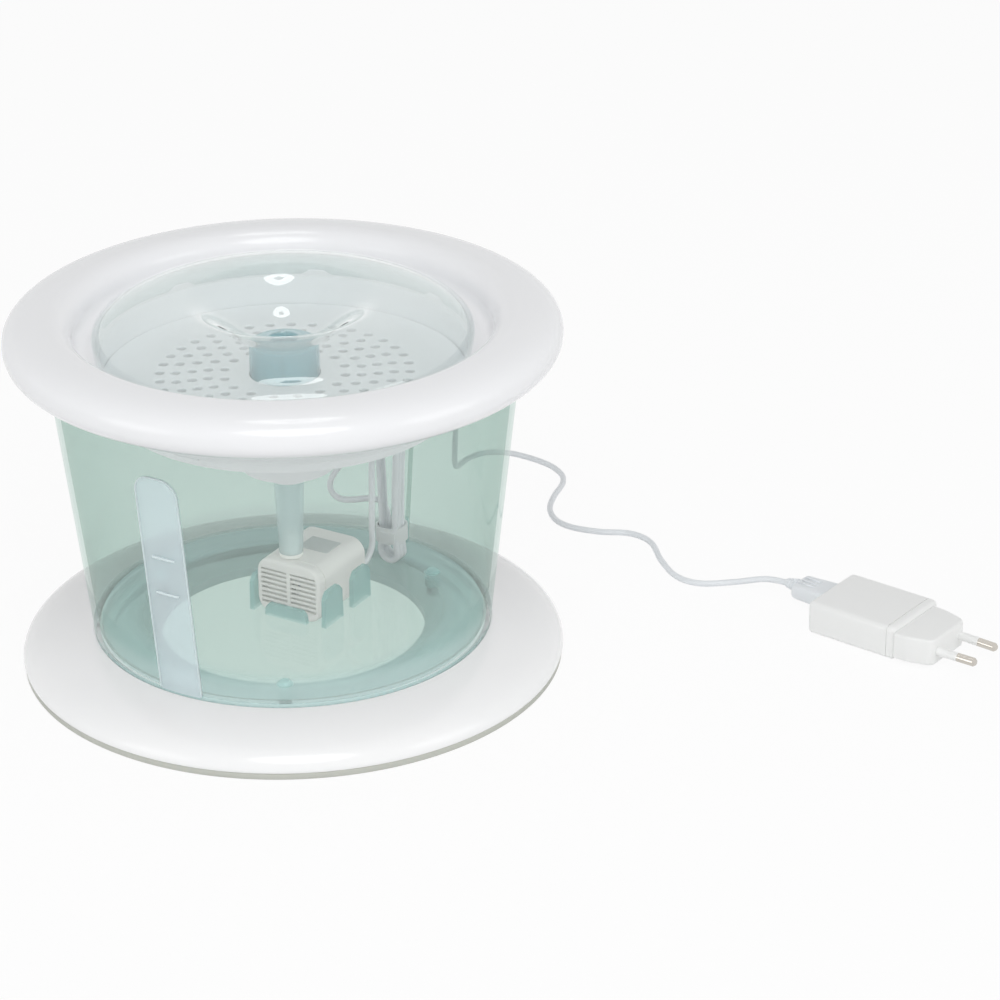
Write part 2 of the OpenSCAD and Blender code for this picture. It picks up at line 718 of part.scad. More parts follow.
module pump_housing() {
    w = pump_w;
    h = pump_h;
    color("ivory") difference() {
        union() {
            in_pump() bar_y(w, h, pump_round, chamber_y0, back_y);
            translate([0, 0, pump_top - 1]) cylinder(r = nozzle_r, h = nozzle_h + 1, $fn = 48);
            translate([0, 0, pump_top + fit]) cylinder(r = nozzle_r + 1.8, h = 1.7, $fn = 48);
        }
        // impeller chamber, outlet duct and the rotor's blind well
        in_pump() {
            rod_y(chamber_r, chamber_y0 - 1, chamber_y1);
            rod_y(magnet_r + well_gap, chamber_y1 - 1, magnet_y1 + well_gap);
            // space of the potted motor
            difference() {
                bar_y(w - 2 * shell_t, h - 2 * shell_t, pump_round - shell_t, chamber_y1 + 2, back_y - shell_t);
                rod_y(magnet_r + well_gap + 1, chamber_y1, magnet_y1 + bush_l + 1);
            }
            // seat of the rear bush
            rod_y(bush_r, magnet_y1, magnet_y1 + bush_l);
        }
        translate([0, 0, shaft_z]) cylinder(r = nozzle_bore, h = 40, $fn = 48);
        // seat of the lead's gland
        translate([gland_x, 0, gland_z]) rod_y(gland_r, back_y - 5, back_y + 1);
    }
}

module pump_cover() {
    w = pump_w;
    h = pump_h;
    slots = 8;
    pitch = 2.3;
    side = 14.2;    // outer end of a slot
    rib = 0.9;      // half width of the rib between the two rows
    color("ivory") in_pump() difference() {
        bar_y(w, h, pump_round, face_y, volute_y);
        bar_y(w - 2 * shell_t, h - 2 * shell_t, pump_round - shell_t, face_y + shell_t, volute_y + 1);
        for (s = [-1, 1], k = [0 : slots - 1])
            translate([(s * (side + rib) - side + rib) / 2, face_y - 1, (k - (slots - 1) / 2) * pitch - 0.5])
                cube([side - rib, 4, 1]);
    }
}

module volute_plate() {
    color("ivory") in_pump() difference() {
        bar_y(pump_w - 0.6, pump_h - 0.6, pump_round - 0.3, volute_y, chamber_y0);
        rod_y(4, volute_y - 1, chamber_y0 + 1);
    }
    // bridge that holds the front bush
    color("ivory") in_pump() difference() {
        union() {
            for (a = [0 : 120 : 240]) rotate([0, a, 0]) translate([-0.6, volute_y, 1.6])
                cube([1.2, volute_t, 3]);
            rod_y(2.2, volute_y, chamber_y0);
        }
        rod_y(1.5, volute_y - 1, chamber_y0 + 1);
    }
}

module stator() {
    bore = magnet_r + well_gap + 1.1;
    color("dimgray") in_pump() difference() {
        bar_y(pump_w - 2 * shell_t - 0.2, pump_h - 2 * shell_t - 0.2, pump_round - shell_t - 0.1,
            chamber_y1 + 2.1, back_y - 6.5);
        rod_y(bore, chamber_y1, magnet_y1 + bush_l + 1.1);
    }
}

module impeller() {
    hub = 3.2;
    color("royalblue") in_pump() difference() {
        union() {
            rod_y(hub, impeller_y0, impeller_y1);
            rod_y(impeller_d / 2 - 0.6, impeller_y1 - 1, impeller_y1);
            for (i = [0 : blades - 1]) rotate([0, 360 * i / blades, 0])
                translate([hub - 1, impeller_y0, -0.5]) cube([impeller_d / 2 - hub + 1, impeller_y1 - impeller_y0, 1]);
        }
        rod_y(shaft_d / 2 + run_fit, impeller_y0 - 1, impeller_y1 + 1);
    }
}

module rotor_magnet() {
    color("dimgray") in_pump() difference() {
        rod_y(magnet_r, impeller_y1, magnet_y1 - 0.6);
        rod_y(shaft_d / 2 + run_fit, impeller_y1 - 1, magnet_y1 + 1);
    }
}

module impeller_shaft() {
    color("white") in_pump() rod_y(shaft_d / 2, volute_y + 0.2, magnet_y1 + bush_l - 0.4);
}

module shaft_bushes() {
    color("dimgray") in_pump() {
        difference() {
            rod_y(1.5, volute_y, chamber_y0);
            rod_y(shaft_d / 2, volute_y - 1, chamber_y0 + 1);
        }
        difference() {
            rod_y(bush_r, magnet_y1, magnet_y1 + bush_l);
            rod_y(shaft_d / 2, magnet_y1 - 1, magnet_y1 + bush_l - 0.4);
        }
    }
}

module pump_gland() {
    color("whitesmoke") translate([gland_x, 0, gland_z]) {
        rod_y(gland_r - 0.05, back_y - 5, back_y);
        translate([0, back_y, 0]) rotate([-90, 0, 0]) cylinder(r1 = gland_r, r2 = lead_r + 0.3, h = gland_l, $fn = 32);
    }
}

// ---------- Lead ----------

module pump_lead() {
    color("whitesmoke") tube(smooth(pump_route, 1), lead_r);
}

module rim_lead() {
    color("whitesmoke") tube(smooth(rim_route, 1), lead_r);
}

module outer_lead() {
    color("whitesmoke") tube(smooth(outer_route, 2), lead_r);
}

module lead_hank() {
    color("whitesmoke") translate([hank_mid[0], hank_mid[1] + hank_t / 2, hank_mid[2]]) rotate([90, 0, 0])
        linear_extrude(hank_t) rounded(hank_w, hank_h, hank_w / 2 - 0.01);
}

module hank_tie() {
    color("white") translate([hank_mid[0], hank_mid[1], tie_z]) difference() {
        cube([hank_w + 2, hank_t + 2, tie_h], center = true);
        cube([hank_w, hank_t, tie_h + 1], center = true);
    }
}

// ---------- Charger and its plug ----------

module in_charger() {
    translate(charger_at) rotate(charger_turn) children();
}

// Bar along X from x0 to x1 with a rounded section
module bar_x(w, h, r, x0, x1) {
    translate([x0, 0, 0]) rotate([90, 0, 90]) linear_extrude(x1 - x0) rounded(w, h, r);
}

module usb_plug() {
    x1 = -charger_l / 2 - 0.4;
    x0 = x1 - plug_l;
    color("whitesmoke") in_charger() translate([0, port_y, port_z]) {
        bar_x(plug_w, plug_t, 2, x0, x1);
        translate([x0 - relief_l, 0, 0]) rotate([0, 90, 0]) cylinder(r1 = lead_r + 0.5, r2 = 3, h = relief_l + eps, $fn = 32);
    }
}

module usb_shell() {
    x0 = -charger_l / 2 - 0.4;
    color("silver") in_charger() translate([0, port_y, port_z]) difference() {
        bar_x(shell_w, shell_h, 0.5, x0, x0 + shell_l);
        bar_x(shell_w - 0.6, shell_h - 0.6, 0.3, x0 + 1, x0 + shell_l + 1);
    }
}

module charger_body() {
    x = charger_l / 2;
    color("white") in_charger() difference() {
        translate([0, 0, charger_h / 2]) intersection() {
            bar_x(charger_w, charger_h, charger_round, -x, x);
            translate([0, 0, -charger_h / 2]) linear_extrude(charger_h) rounded(charger_l, charger_w, charger_round);
        }
        translate([0, port_y, port_z])
            bar_x(shell_w + 2 * socket_fit, shell_h + 2 * socket_fit, 0.8, -x - 1, -x + shell_l + 0.5);
    }
}

module charger_nose() {
    x = charger_l / 2;
    z = port_z;
    color("white") in_charger() translate([x, nose_y, z]) intersection() {
        bar_x(nose_w, nose_h, 3, 0, nose_l);
        translate([0, 0, -nose_h]) linear_extrude(2 * nose_h) polygon([
            [0, -nose_w / 2], [6, -nose_w / 2], [nose_l - 2, -nose_tip_w / 2 - 0.6], [nose_l, -nose_tip_w / 2 + 1.4],
            [nose_l, nose_tip_w / 2 - 1.4], [nose_l - 2, nose_tip_w / 2 + 0.6], [6, nose_w / 2], [0, nose_w / 2]
        ]);
    }
}

module at_pins() {
    in_charger() translate([charger_l / 2 + nose_l, nose_y, port_z]) for (s = [-1, 1])
        translate([0, s * pin_pitch / 2, 0]) rotate(-s * pin_toe) rotate([0, 90, 0]) children();
}

module pin_sleeves() {
    color("white") at_pins() difference() {
        cylinder(d = pin_d, h = sleeve_l, $fn = 32);
        translate([0, 0, -1]) cylinder(d = pin_d - 1.2, h = sleeve_l + 2, $fn = 32);
    }
}

module plug_pins() {
    color("silver") at_pins() {
        translate([0, 0, -2]) cylinder(d = pin_d - 1.2, h = sleeve_l + 2, $fn = 32);
        translate([0, 0, sleeve_l]) cylinder(d = pin_d, h = pin_l - sleeve_l - 1, $fn = 32);
        translate([0, 0, pin_l - 1 - eps]) cylinder(d1 = pin_d, d2 = pin_d - 1.4, h = 1, $fn = 32);
    }
}

base_skirt();
anti_slip_ring();
clamp_ring();
base_screws();
tank();
level_window();
rim_grommet();
bowl();
filter_tray();
filter_pad();
filter_cover();
dome();
dome_hub();
riser_tube();
pump_housing();
pump_cover();
volute_plate();
stator();
impeller();
rotor_magnet();
impeller_shaft();
shaft_bushes();
pump_gland();
pump_lead();
lead_hank();
hank_tie();
rim_lead();
outer_lead();
usb_plug();
usb_shell();
charger_body();
charger_nose();
pin_sleeves();
plug_pins();
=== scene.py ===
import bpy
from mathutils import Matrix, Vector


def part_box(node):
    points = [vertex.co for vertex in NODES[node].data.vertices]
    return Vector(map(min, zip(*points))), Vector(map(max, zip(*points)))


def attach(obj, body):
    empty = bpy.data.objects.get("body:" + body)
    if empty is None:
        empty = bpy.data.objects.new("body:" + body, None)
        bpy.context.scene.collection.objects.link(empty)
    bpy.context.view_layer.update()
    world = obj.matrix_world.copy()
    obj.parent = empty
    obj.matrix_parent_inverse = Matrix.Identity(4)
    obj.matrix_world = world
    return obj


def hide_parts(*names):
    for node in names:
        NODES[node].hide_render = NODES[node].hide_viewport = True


bl_info = {
    "name": "Pet Water Fountain",
    "version": (1, 0, 0),
    "blender": (4, 5, 0),
    "location": "3D Viewport > Sidebar > Fountain",
    "description": "Dresses the packed drinking fountain: bowl, tank, dome, pump, lead and charger",
    "category": "Add Mesh",
}

import math

import bmesh
import bpy
from mathutils import Matrix, Vector, noise

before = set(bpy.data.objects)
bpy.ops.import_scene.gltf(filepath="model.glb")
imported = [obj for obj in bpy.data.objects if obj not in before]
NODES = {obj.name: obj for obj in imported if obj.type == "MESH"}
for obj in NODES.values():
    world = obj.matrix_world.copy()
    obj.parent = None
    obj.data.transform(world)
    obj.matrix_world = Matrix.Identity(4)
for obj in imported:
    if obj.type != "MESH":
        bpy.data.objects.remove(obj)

MM = 0.001
TURN = 2 * math.pi


def box_mm(node):
    """Lowest and highest corner of a CAD node, in millimetres."""
    low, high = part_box(node)
    return low / MM, high / MM


def shift(x, y, z):
    """A move in millimetres."""
    return Matrix.Translation(Vector((x, y, z)) * MM)


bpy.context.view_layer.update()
BOWL_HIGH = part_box("bowl")[1]
SKIRT_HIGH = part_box("base_skirt")[1]
DOME_LOW, DOME_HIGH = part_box("dome")
COVER_LOW, COVER_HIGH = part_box("filter_cover")
PAD_LOW, PAD_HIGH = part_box("filter_pad")

# Heights and radii of the tank and of what sits on it, in millimetres.
SEAT, RIM = 13.0, 141.0
TANK_FOOT_R, TANK_RIM_R = 87.6, 101.9
COLLAR_R = 88.3
ROLL_Z = BOWL_HIGH.z / MM - 10.5
COVER_Z = COVER_LOW.z / MM - 0.3

# Where the charger lies, and its socket's middle and face on it.
CHARGER = shift(219, 139, 0) @ Matrix.Rotation(math.radians(-8), 4, "Z")
CHARGER_Z = 8
SOCKET_Y, SOCKET_X = 5, -23.4


def paint(red, green, blue):
    """A colour from 0 to 255 as Blender's linear red, green, blue and alpha."""
    return tuple(
        (c / 255 / 12.92) if c / 255 <= 0.04045 else ((c / 255 + 0.055) / 1.055) ** 2.4
        for c in (red, green, blue)
    ) + (1.0,)


# ---------- Sizes and colours that a user would change ----------


LENGTH = {"unit": "LENGTH", "precision": 4}
COLOUR = {"subtype": "COLOR", "size": 4, "min": 0, "max": 1}


class FountainSizes(bpy.types.PropertyGroup):
    """Sizes of the turned pieces, the grille, the strainer and the leads."""

    ring_radius: bpy.props.FloatProperty(
        name="Ring radius", description="Outer radius of the fat drinking ring",
        default=BOWL_HIGH.x, **LENGTH,
    )
    roll_radius: bpy.props.FloatProperty(
        name="Roll radius", description="Radius of the middle of the ring's roll", default=0.1012, **LENGTH
    )
    ring_steps: bpy.props.IntProperty(
        name="Ring steps", description="Facets round the large turned pieces", default=288, min=48, max=360
    )
    strainer_rings: bpy.props.IntProperty(
        name="Strainer rings", description="Rings of holes in the cover", default=5, min=1, max=6
    )
    hole_diameter: bpy.props.FloatProperty(
        name="Hole diameter", description="Diameter of one hole of the cover", default=0.0046, **LENGTH
    )
    slats: bpy.props.IntProperty(
        name="Intake slats", description="Slats in each of the two intake windows",
        default=7, min=3, max=14,
    )
    lead_diameter: bpy.props.FloatProperty(
        name="Lead diameter", description="Diameter of the low-voltage lead", default=0.0028, **LENGTH
    )
    hank_loops: bpy.props.IntProperty(
        name="Hank loops", description="Loops of spare lead tied together in the tank",
        default=3, min=2, max=4,
    )


class FountainColours(bpy.types.PropertyGroup):
    """Colours of the fountain's plastics."""

    white: bpy.props.FloatVectorProperty(
        name="White", description="Glossy white of the bowl and the base",
        default=paint(243, 244, 246), **COLOUR,
    )
    tank_tint: bpy.props.FloatVectorProperty(
        name="Tank tint", description="Light that one surface of the tank lets through",
        default=(0.947, 0.967, 0.96, 1.0), **COLOUR,
    )
    dome_tint: bpy.props.FloatVectorProperty(
        name="Dome tint", description="Light that one surface of the dome lets through",
        default=(0.90, 0.935, 0.93, 1.0), **COLOUR,
    )
    window_tint: bpy.props.FloatVectorProperty(
        name="Window tint", description="Light that one surface of the level window lets through",
        default=(0.97, 0.98, 0.99, 1.0), **COLOUR,
    )
    rubber: bpy.props.FloatVectorProperty(
        name="Rubber", description="Warm grey of the anti-slip ring",
        default=paint(196, 198, 190), **COLOUR,
    )
    pump: bpy.props.FloatVectorProperty(
        name="Pump", description="Off-white of the pump's mouldings",
        default=paint(251, 251, 247), **COLOUR,
    )
    jacket: bpy.props.FloatVectorProperty(
        name="Lead jacket", description="Soft vinyl of the lead", default=paint(236, 240, 243), **COLOUR
    )
    charger: bpy.props.FloatVectorProperty(
        name="Charger", description="White of the charger", default=paint(244, 245, 244), **COLOUR
    )


class FountainStage(bpy.types.PropertyGroup):
    """Camera, lamps and floor."""

    lens: bpy.props.FloatProperty(
        name="Lens", description="Focal length of the camera in millimetres",
        default=126.01, min=20, max=300,
    )
    soft_light: bpy.props.FloatProperty(
        name="Soft light",
        description="Strength of the white surroundings at the horizon, which fall off overhead",
        default=0.9, min=0, max=2,
    )
    ring_light: bpy.props.FloatProperty(
        name="Ring light", description="Brightness of the round lamp overhead", default=4.6, min=0, max=100
    )
    front_light: bpy.props.FloatProperty(
        name="Front light", description="Power of the large soft lamp in front",
        default=6.6, min=0, max=100,
    )
    side_light: bpy.props.FloatProperty(
        name="Side light", description="Power of each soft lamp at the sides", default=1.8, min=0, max=100
    )


# ---------- Node trees ----------


class Value:
    """One output of a node, which Python's operators work on."""

    def __init__(self, tree, output):
        self.tree, self.output = tree, output

    def maths(self, operation, *others):
        return self.tree.node("ShaderNodeMath", {"operation": operation}, dict(enumerate((self,) + others)))

    def __add__(self, other):
        return self.maths("ADD", other)

    __radd__ = __add__

    def __mul__(self, other):
        return self.maths("MULTIPLY", other)

    __rmul__ = __mul__

    def __sub__(self, other):
        return self.maths("SUBTRACT", other)

    def __rsub__(self, other):
        return self.tree.node("ShaderNodeMath", {"operation": "SUBTRACT"}, {0: other, 1: self})

    def __truediv__(self, other):
        return self.maths("DIVIDE", other)

    def __rtruediv__(self, other):
        return self.tree.node("ShaderNodeMath", {"operation": "DIVIDE"}, {0: other, 1: self})

    def __pow__(self, other):
        return self.maths("POWER", other)

    def __mod__(self, other):
        return self.maths("FLOORED_MODULO", other)

    def __gt__(self, other):
        return self.maths("GREATER_THAN", other)

    def __lt__(self, other):
        return self.maths("LESS_THAN", other)

    def floor(self):
        return self.maths("FLOOR")

    def sin(self):
        return self.maths("SINE")

    def cos(self):
        return self.maths("COSINE")

    def held(self):
        """The same value kept between 0 and 1."""
        return self.tree.node("ShaderNodeClamp", inputs={0: self})


class Tree:
    """A node tree that is put together node by node."""

    def node(self, kind, settings=None, inputs=None, output=0):
        made = self.tree.nodes.new(kind)
        for key, value in (settings or {}).items():
            setattr(made, key, value)
        for key, value in (inputs or {}).items():
            if isinstance(value, Value):
                self.tree.links.new(value.output, made.inputs[key])
            else:
                made.inputs[key].default_value = value
        return Value(self, made.outputs[output]) if made.outputs else None

    def ray(self, *kinds):
        """One on rays of these kinds, and nought on all others."""
        first, *others = (self.node("ShaderNodeLightPath", output=f"Is {kind} Ray") for kind in kinds)
        return sum(others, first).held()


class Finish(Tree):
    """A material for one of the fountain's plastics or metals."""

    def __init__(self, name):
        self.material = bpy.data.materials.new(name)
        self.material.use_nodes = True
        self.tree = self.material.node_tree
        self.tree.nodes.clear()
        self.where = self.node("ShaderNodeTexCoord", output="Object")

    def grain(self, scale, detail=2.0, rough=0.5, stretch=None):
        """Noise from 0 to 1, with its scale in cells a metre."""
        where = self.where
        if stretch:
            where = self.node("ShaderNodeMapping", inputs={"Vector": where, "Scale": stretch})
        return self.node(
            "ShaderNodeTexNoise",
            inputs={"Vector": where, "Scale": scale, "Detail": detail, "Roughness": rough},
        )

    def axes(self):
        """The point's X, Y and Z in metres, and its distance from the upright axis."""
        x, y, z = (self.node("ShaderNodeSeparateXYZ", inputs={0: self.where}, output=k) for k in range(3))
        return x, y, z, (x * x + y * y) ** 0.5

    def mixed(self, factor, first, second):
        return self.node("ShaderNodeMix", {"data_type": "RGBA"}, {0: factor, 6: first, 7: second}, output=2)

    def blend(self, factor, first, second):
        return self.node("ShaderNodeMixShader", inputs={0: factor, 1: first, 2: second})

    def passing(self, colour):
        return self.node("ShaderNodeBsdfTransparent", inputs={"Color": colour})

    def glow(self, strength):
        return self.node("ShaderNodeEmission", inputs={"Color": (1, 1, 1, 1), "Strength": strength})

    def bumped(self, height, distance):
        return self.node("ShaderNodeBump", inputs={"Height": height, "Distance": distance, "Strength": 1.0})

    def principled(self, **sockets):
        names = {
            "colour": "Base Color",
            "rough": "Roughness",
            "metal": "Metallic",
            "normal": "Normal",
            "specular": "Specular IOR Level",
            "sheen": "Sheen Weight",
        }
        return self.node(
            "ShaderNodeBsdfPrincipled", inputs={names[key]: value for key, value in sockets.items()}
        )

    def done(self, shader):
        self.node("ShaderNodeOutputMaterial", inputs={"Surface": shader})
        return self.material

    def coated(self, **sockets):
        return self.done(self.principled(**sockets))


def shade(colour, factor):
    """A colour made darker or lighter by a factor."""
    return tuple(min(1.0, c * factor) for c in colour[:3]) + (1.0,)


def moulded(name, colour, rough=0.16, cloud=0.012, peel=0.000004, specular=0.5):
    """Moulded plastic: faint flow clouds, a trace of orange peel, and handling marks in its gloss."""
    f = Finish(name)
    flow = f.grain(16, 3)
    skin = f.grain(520, 2)
    marks = f.grain(60, 4, 0.7, (1, 1, 4))
    return f.coated(
        colour=f.mixed(flow, shade(colour, 1 - cloud), shade(colour, 1 + cloud)),
        rough=rough + (marks - 0.5) * (0.25 * rough),
        normal=f.bumped(skin, peel),
        specular=specular,
    )


def tank_teal_and_painted_light(f, body):
    """The tank's screw bosses, the tabs on its floor and the outer skin of its foot are a fuller teal than its
    wall. The other zones are painted light and shade: a pale foot and a pale haze low on the wall lift the shade
    round the foot, and a darker teal on the floor's outer annulus is partly painted shade.
    """
    x, y, z, radius = f.axes()
    under_floor, over_floor = 0.0192, 0.0198
    on_floor, in_wall, wall_skin = 0.0835, 0.0846, 0.0870
    boss_at, boss_r, boss_top = 0.0708, 0.0036, 0.0213

    # Painted light: a faint pale haze on the lowest band of the wall, just over the floor, lifts the shade seen
    # through it.
    low = (1 - ((z - 0.026) / 0.006).held()) * (z > over_floor) * (radius > on_floor)
    body = f.blend(low * 0.12, body, f.principled(colour=(0.80, 0.90, 0.90, 1), rough=0.5, specular=0.0))
    # Partly painted shade: the floor's outer annulus is half a darker teal, for the clamp's teal under it and
    # for the shade of the hollow below.
    outer = ((radius - 0.060) / 0.014).held() * (z > 0.0190) * (z < over_floor) * (radius < in_wall)
    body = f.blend(outer * 0.5, body, f.principled(colour=(0.52, 0.83, 0.82, 1), rough=0.4))
    # Painted light: the foot is a nearly solid pale teal, which hides the dark shade in the gap between the tank
    # and the skirt.
    foot = (z < under_floor) * (radius > in_wall) * (radius < wall_skin)
    body = f.blend(foot * 0.95, body, f.principled(colour=(0.88, 1.0, 0.99, 1), rough=0.4))

    rim = (z < under_floor) * (radius > wall_skin)
    tabs = (z > over_floor) * (z < 0.045) * (radius < on_floor)
    boss = 0.0
    for a in map(math.radians, (-60, 60, 180)):
        dx, dy = x - boss_at * math.cos(a), y - boss_at * math.sin(a)
        boss = (dx * dx + dy * dy < boss_r ** 2) + boss
    boss = boss * (z < boss_top)
    full = ((rim * 0.3).maths("MAXIMUM", tabs * 0.5)).maths("MAXIMUM", boss * 0.85)
    return f.blend(full, body, f.principled(colour=(0.42, 0.75, 0.73, 1), rough=0.4))


def clamp_painted_light(f, body):
    """The clamp ring's step, which grips the skirt, is solid pale teal, and the rest is half solid pale teal:
    painted light that lifts the shade in the hollow under the tank's floor.
    """
    step = f.axes()[3] > 0.0798
    return f.blend(0.45 + 0.55 * step, body, f.principled(colour=(0.80, 1.0, 0.99, 1), rough=0.4))


def clear(name, tint, ior=1.4, gloss=1.0, veil=0.0, milk=(0.8, 0.88, 0.86, 1.0), deep=0.6, far=0.0, zones=None):
    """Clear tinted plastic: tinted deeper where light crosses it at a slant, with a mirroring skin.

    The veil is a faint milkiness that runs in upright streaks. Lamps and scattered light pass
    straight through. Far is how much deeper the tint is from the third surface on, as in light
    that crosses both walls.
    """
    f = Finish(name)
    slant = f.node("ShaderNodeLayerWeight", inputs={"Blend": 0.5}, output="Facing")
    streaks = f.grain(26, 2, 0.5, (1, 1, 0.08))
    flow = f.grain(9, 2)
    thick = slant ** 2.5 * deep + (flow - 0.5) * 0.12
    if far:
        thick = thick + (f.node("ShaderNodeLightPath", output="Transparent Depth") > 1.5) * far
    body = f.blend(thick.held(), f.passing(tint), f.passing(tuple(c ** 5 for c in tint[:3]) + (1,)))
    if veil:
        haze = f.principled(colour=milk, rough=0.5, specular=0.0)
        body = f.blend(veil * (0.5 + 0.5 * streaks + 0.5 * flow), body, haze)
    if zones:
        body = zones(f, body)
    smear = f.grain(38, 3, 0.6)
    back = f.node("ShaderNodeNewGeometry", output="Backfacing")
    skin = f.principled(
        colour=(0.97, 0.98, 0.98, 1.0),
        metal=1.0,
        rough=0.03 + smear * 0.02,
        normal=f.bumped(f.grain(26, 1), 0.00002),
    )
    mirror = (f.node("ShaderNodeFresnel", inputs={"IOR": ior}) * gloss * (1 - back)).held()
    return f.done(f.blend(f.ray("Shadow", "Diffuse"), f.blend(mirror, body, skin), f.passing((1, 1, 1, 1))))


def rubbery(name, colour, rough=0.62, grain=0.00002):
    """Matt rubber or vinyl with a fine tooth and a little bloom."""
    f = Finish(name)
    tooth = f.grain(1500, 2)
    bloom = f.grain(34, 4, 0.65)
    return f.coated(
        colour=f.mixed(bloom, shade(colour, 0.95), shade(colour, 1.04)),
        rough=rough + (bloom - 0.5) * 0.16,
        normal=f.bumped(tooth, grain),
    )


def metallic(name, colour, rough=0.22, stretch=(1, 1, 1), metal=1.0):
    """Plated or ceramic-hard metal with drawn lines."""
    f = Finish(name)
    drawn = f.grain(900, 3, 0.6, stretch)
    tarnish = f.grain(120, 3)
    return f.coated(
        colour=f.mixed(tarnish, shade(colour, 0.9), shade(colour, 1.04)),
        metal=metal,
        rough=rough + (drawn - 0.5) * 0.14,
        normal=f.bumped(drawn, 0.000006),
    )


def fleece(name):
    """Filter fleece: pale fibres with dark grains of carbon between them."""
    f = Finish(name)
    fibre = f.grain(900, 5, 0.75, (1, 1, 3))
    fluff = f.grain(160, 4, 0.7)
    grains = f.node("ShaderNodeTexVoronoi", inputs={"Vector": f.where, "Scale": 620.0})
    specks = (0.34 - grains) * 6.0 * (f.grain(70, 2) > 0.46)
    pale = f.mixed(fibre, paint(196, 204, 204), paint(228, 232, 231))
    return f.coated(
        colour=f.mixed(specks.held() * 0.6, pale, paint(96, 102, 104)),
        rough=0.92,
        sheen=0.3,
        normal=f.bumped(fibre * 0.6 + fluff * 0.8, 0.0007),
    )


def vinyl(name, colour):
    """Soft vinyl jacket of a lead: low gloss, faint rings from the extruder."""
    f = Finish(name)
    drawn = f.grain(700, 2)
    dust = f.grain(45, 3, 0.6)
    return f.coated(
        colour=f.mixed(dust, shade(colour, 0.965), shade(colour, 1.02)),
        rough=0.38 + (dust - 0.5) * 0.12,
        normal=f.bumped(drawn, 0.00001),
    )


# ---------- Geometry Nodes ----------


class Growth(Tree):
    """A Geometry Nodes tree with named inputs."""

    def __init__(self, name, inputs):
        self.tree = bpy.data.node_groups.new(name, "GeometryNodeTree")
        face = self.tree.interface
        face.new_socket("Geometry", in_out="INPUT", socket_type="NodeSocketGeometry")
        for label, kind in inputs:
            face.new_socket(label, in_out="INPUT", socket_type="NodeSocket" + kind)
        face.new_socket("Geometry", in_out="OUTPUT", socket_type="NodeSocketGeometry")
        self.entry = self.tree.nodes.new("NodeGroupInput")

    def given(self, label):
        return Value(self, self.entry.outputs[label])

    def point(self, x, y, z):
        return self.node("ShaderNodeCombineXYZ", inputs={0: x, 1: y, 2: z})

    def copies(self, spot, **sockets):
        """The part given as Copy, once at each of Count spots."""
        spots = self.node("GeometryNodePoints", inputs={"Count": self.given("Count"), "Position": spot})
        part = self.node("GeometryNodeObjectInfo", inputs={"Object": self.given("Copy")}, output="Geometry")
        laid = self.node("GeometryNodeInstanceOnPoints", inputs={"Points": spots, "Instance": part, **sockets})
        return self.done(self.node("GeometryNodeRealizeInstances", inputs={0: laid}))

    def done(self, geometry):
        painted = self.node(
            "GeometryNodeSetMaterial", inputs={"Geometry": geometry, "Material": self.given("Finish")}
        )
        out = self.tree.nodes.new("NodeGroupOutput")
        self.tree.links.new(painted.output, out.inputs[0])
        return self.tree


def turned_tree():
    """Sweeps a profile, given as a row of points, round the vertical axis."""
    g = Growth("turned", [("Steps", "Int"), ("Finish", "Material")])
    steps = g.given("Steps")
    profile = g.given("Geometry")
    count = g.node("GeometryNodeAttributeDomainSize", {"component": "MESH"}, {0: profile})
    grid = g.node("GeometryNodeMeshGrid", inputs={"Vertices X": steps + 1, "Vertices Y": count})
    index = g.node("GeometryNodeInputIndex")
    here = g.node(
        "GeometryNodeSampleIndex",
        {"data_type": "FLOAT_VECTOR"},
        {"Geometry": profile, "Value": g.node("GeometryNodeInputPosition"), "Index": index % count},
    )
    angle = (index / count).floor() / steps * TURN
    placed = g.node(
        "GeometryNodeSetPosition",
        inputs={
            "Geometry": grid,
            "Position": g.node(
                "ShaderNodeVectorRotate", {"rotation_type": "Z_AXIS"}, {"Vector": here, "Angle": angle}
            ),
        },
    )
    whole = g.node("GeometryNodeRealizeInstances", inputs={0: placed})
    return g.done(g.node("GeometryNodeMergeByDistance", inputs={"Geometry": whole, "Distance": 1e-6}))


def circle_tree():
    """Copies a small part round the vertical axis."""
    g = Growth(
        "copies_round",
        [("Count", "Int"), ("Radius", "Float"), ("Height", "Float"), ("Start", "Float"), ("Copy", "Object"),
         ("Finish", "Material")],
    )
    angle = g.node("GeometryNodeInputIndex") / g.given("Count") * TURN + g.given("Start")
    radius = g.given("Radius")
    spot = g.point(angle.cos() * radius, angle.sin() * radius, g.given("Height"))
    return g.copies(spot, Rotation=g.node("FunctionNodeEulerToRotation", inputs={0: g.point(0.0, 0.0, angle)}))


def row_tree():
    """Copies a small part in a straight row, each one smaller than the last by Shrink."""
    g = Growth(
        "copies_in_row",
        [("Count", "Int"), ("Start", "Vector"), ("Step", "Vector"), ("Shrink", "Float"), ("Copy", "Object"),
         ("Finish", "Material")],
    )
    index = g.node("GeometryNodeInputIndex")
    shift_by = g.node("ShaderNodeVectorMath", {"operation": "SCALE"}, {0: g.given("Step"), 3: index})
    spot = g.node("ShaderNodeVectorMath", {"operation": "ADD"}, {0: g.given("Start"), 1: shift_by})
    size = 1.0 - index * g.given("Shrink")
    return g.copies(spot, Scale=g.point(size, size, size))


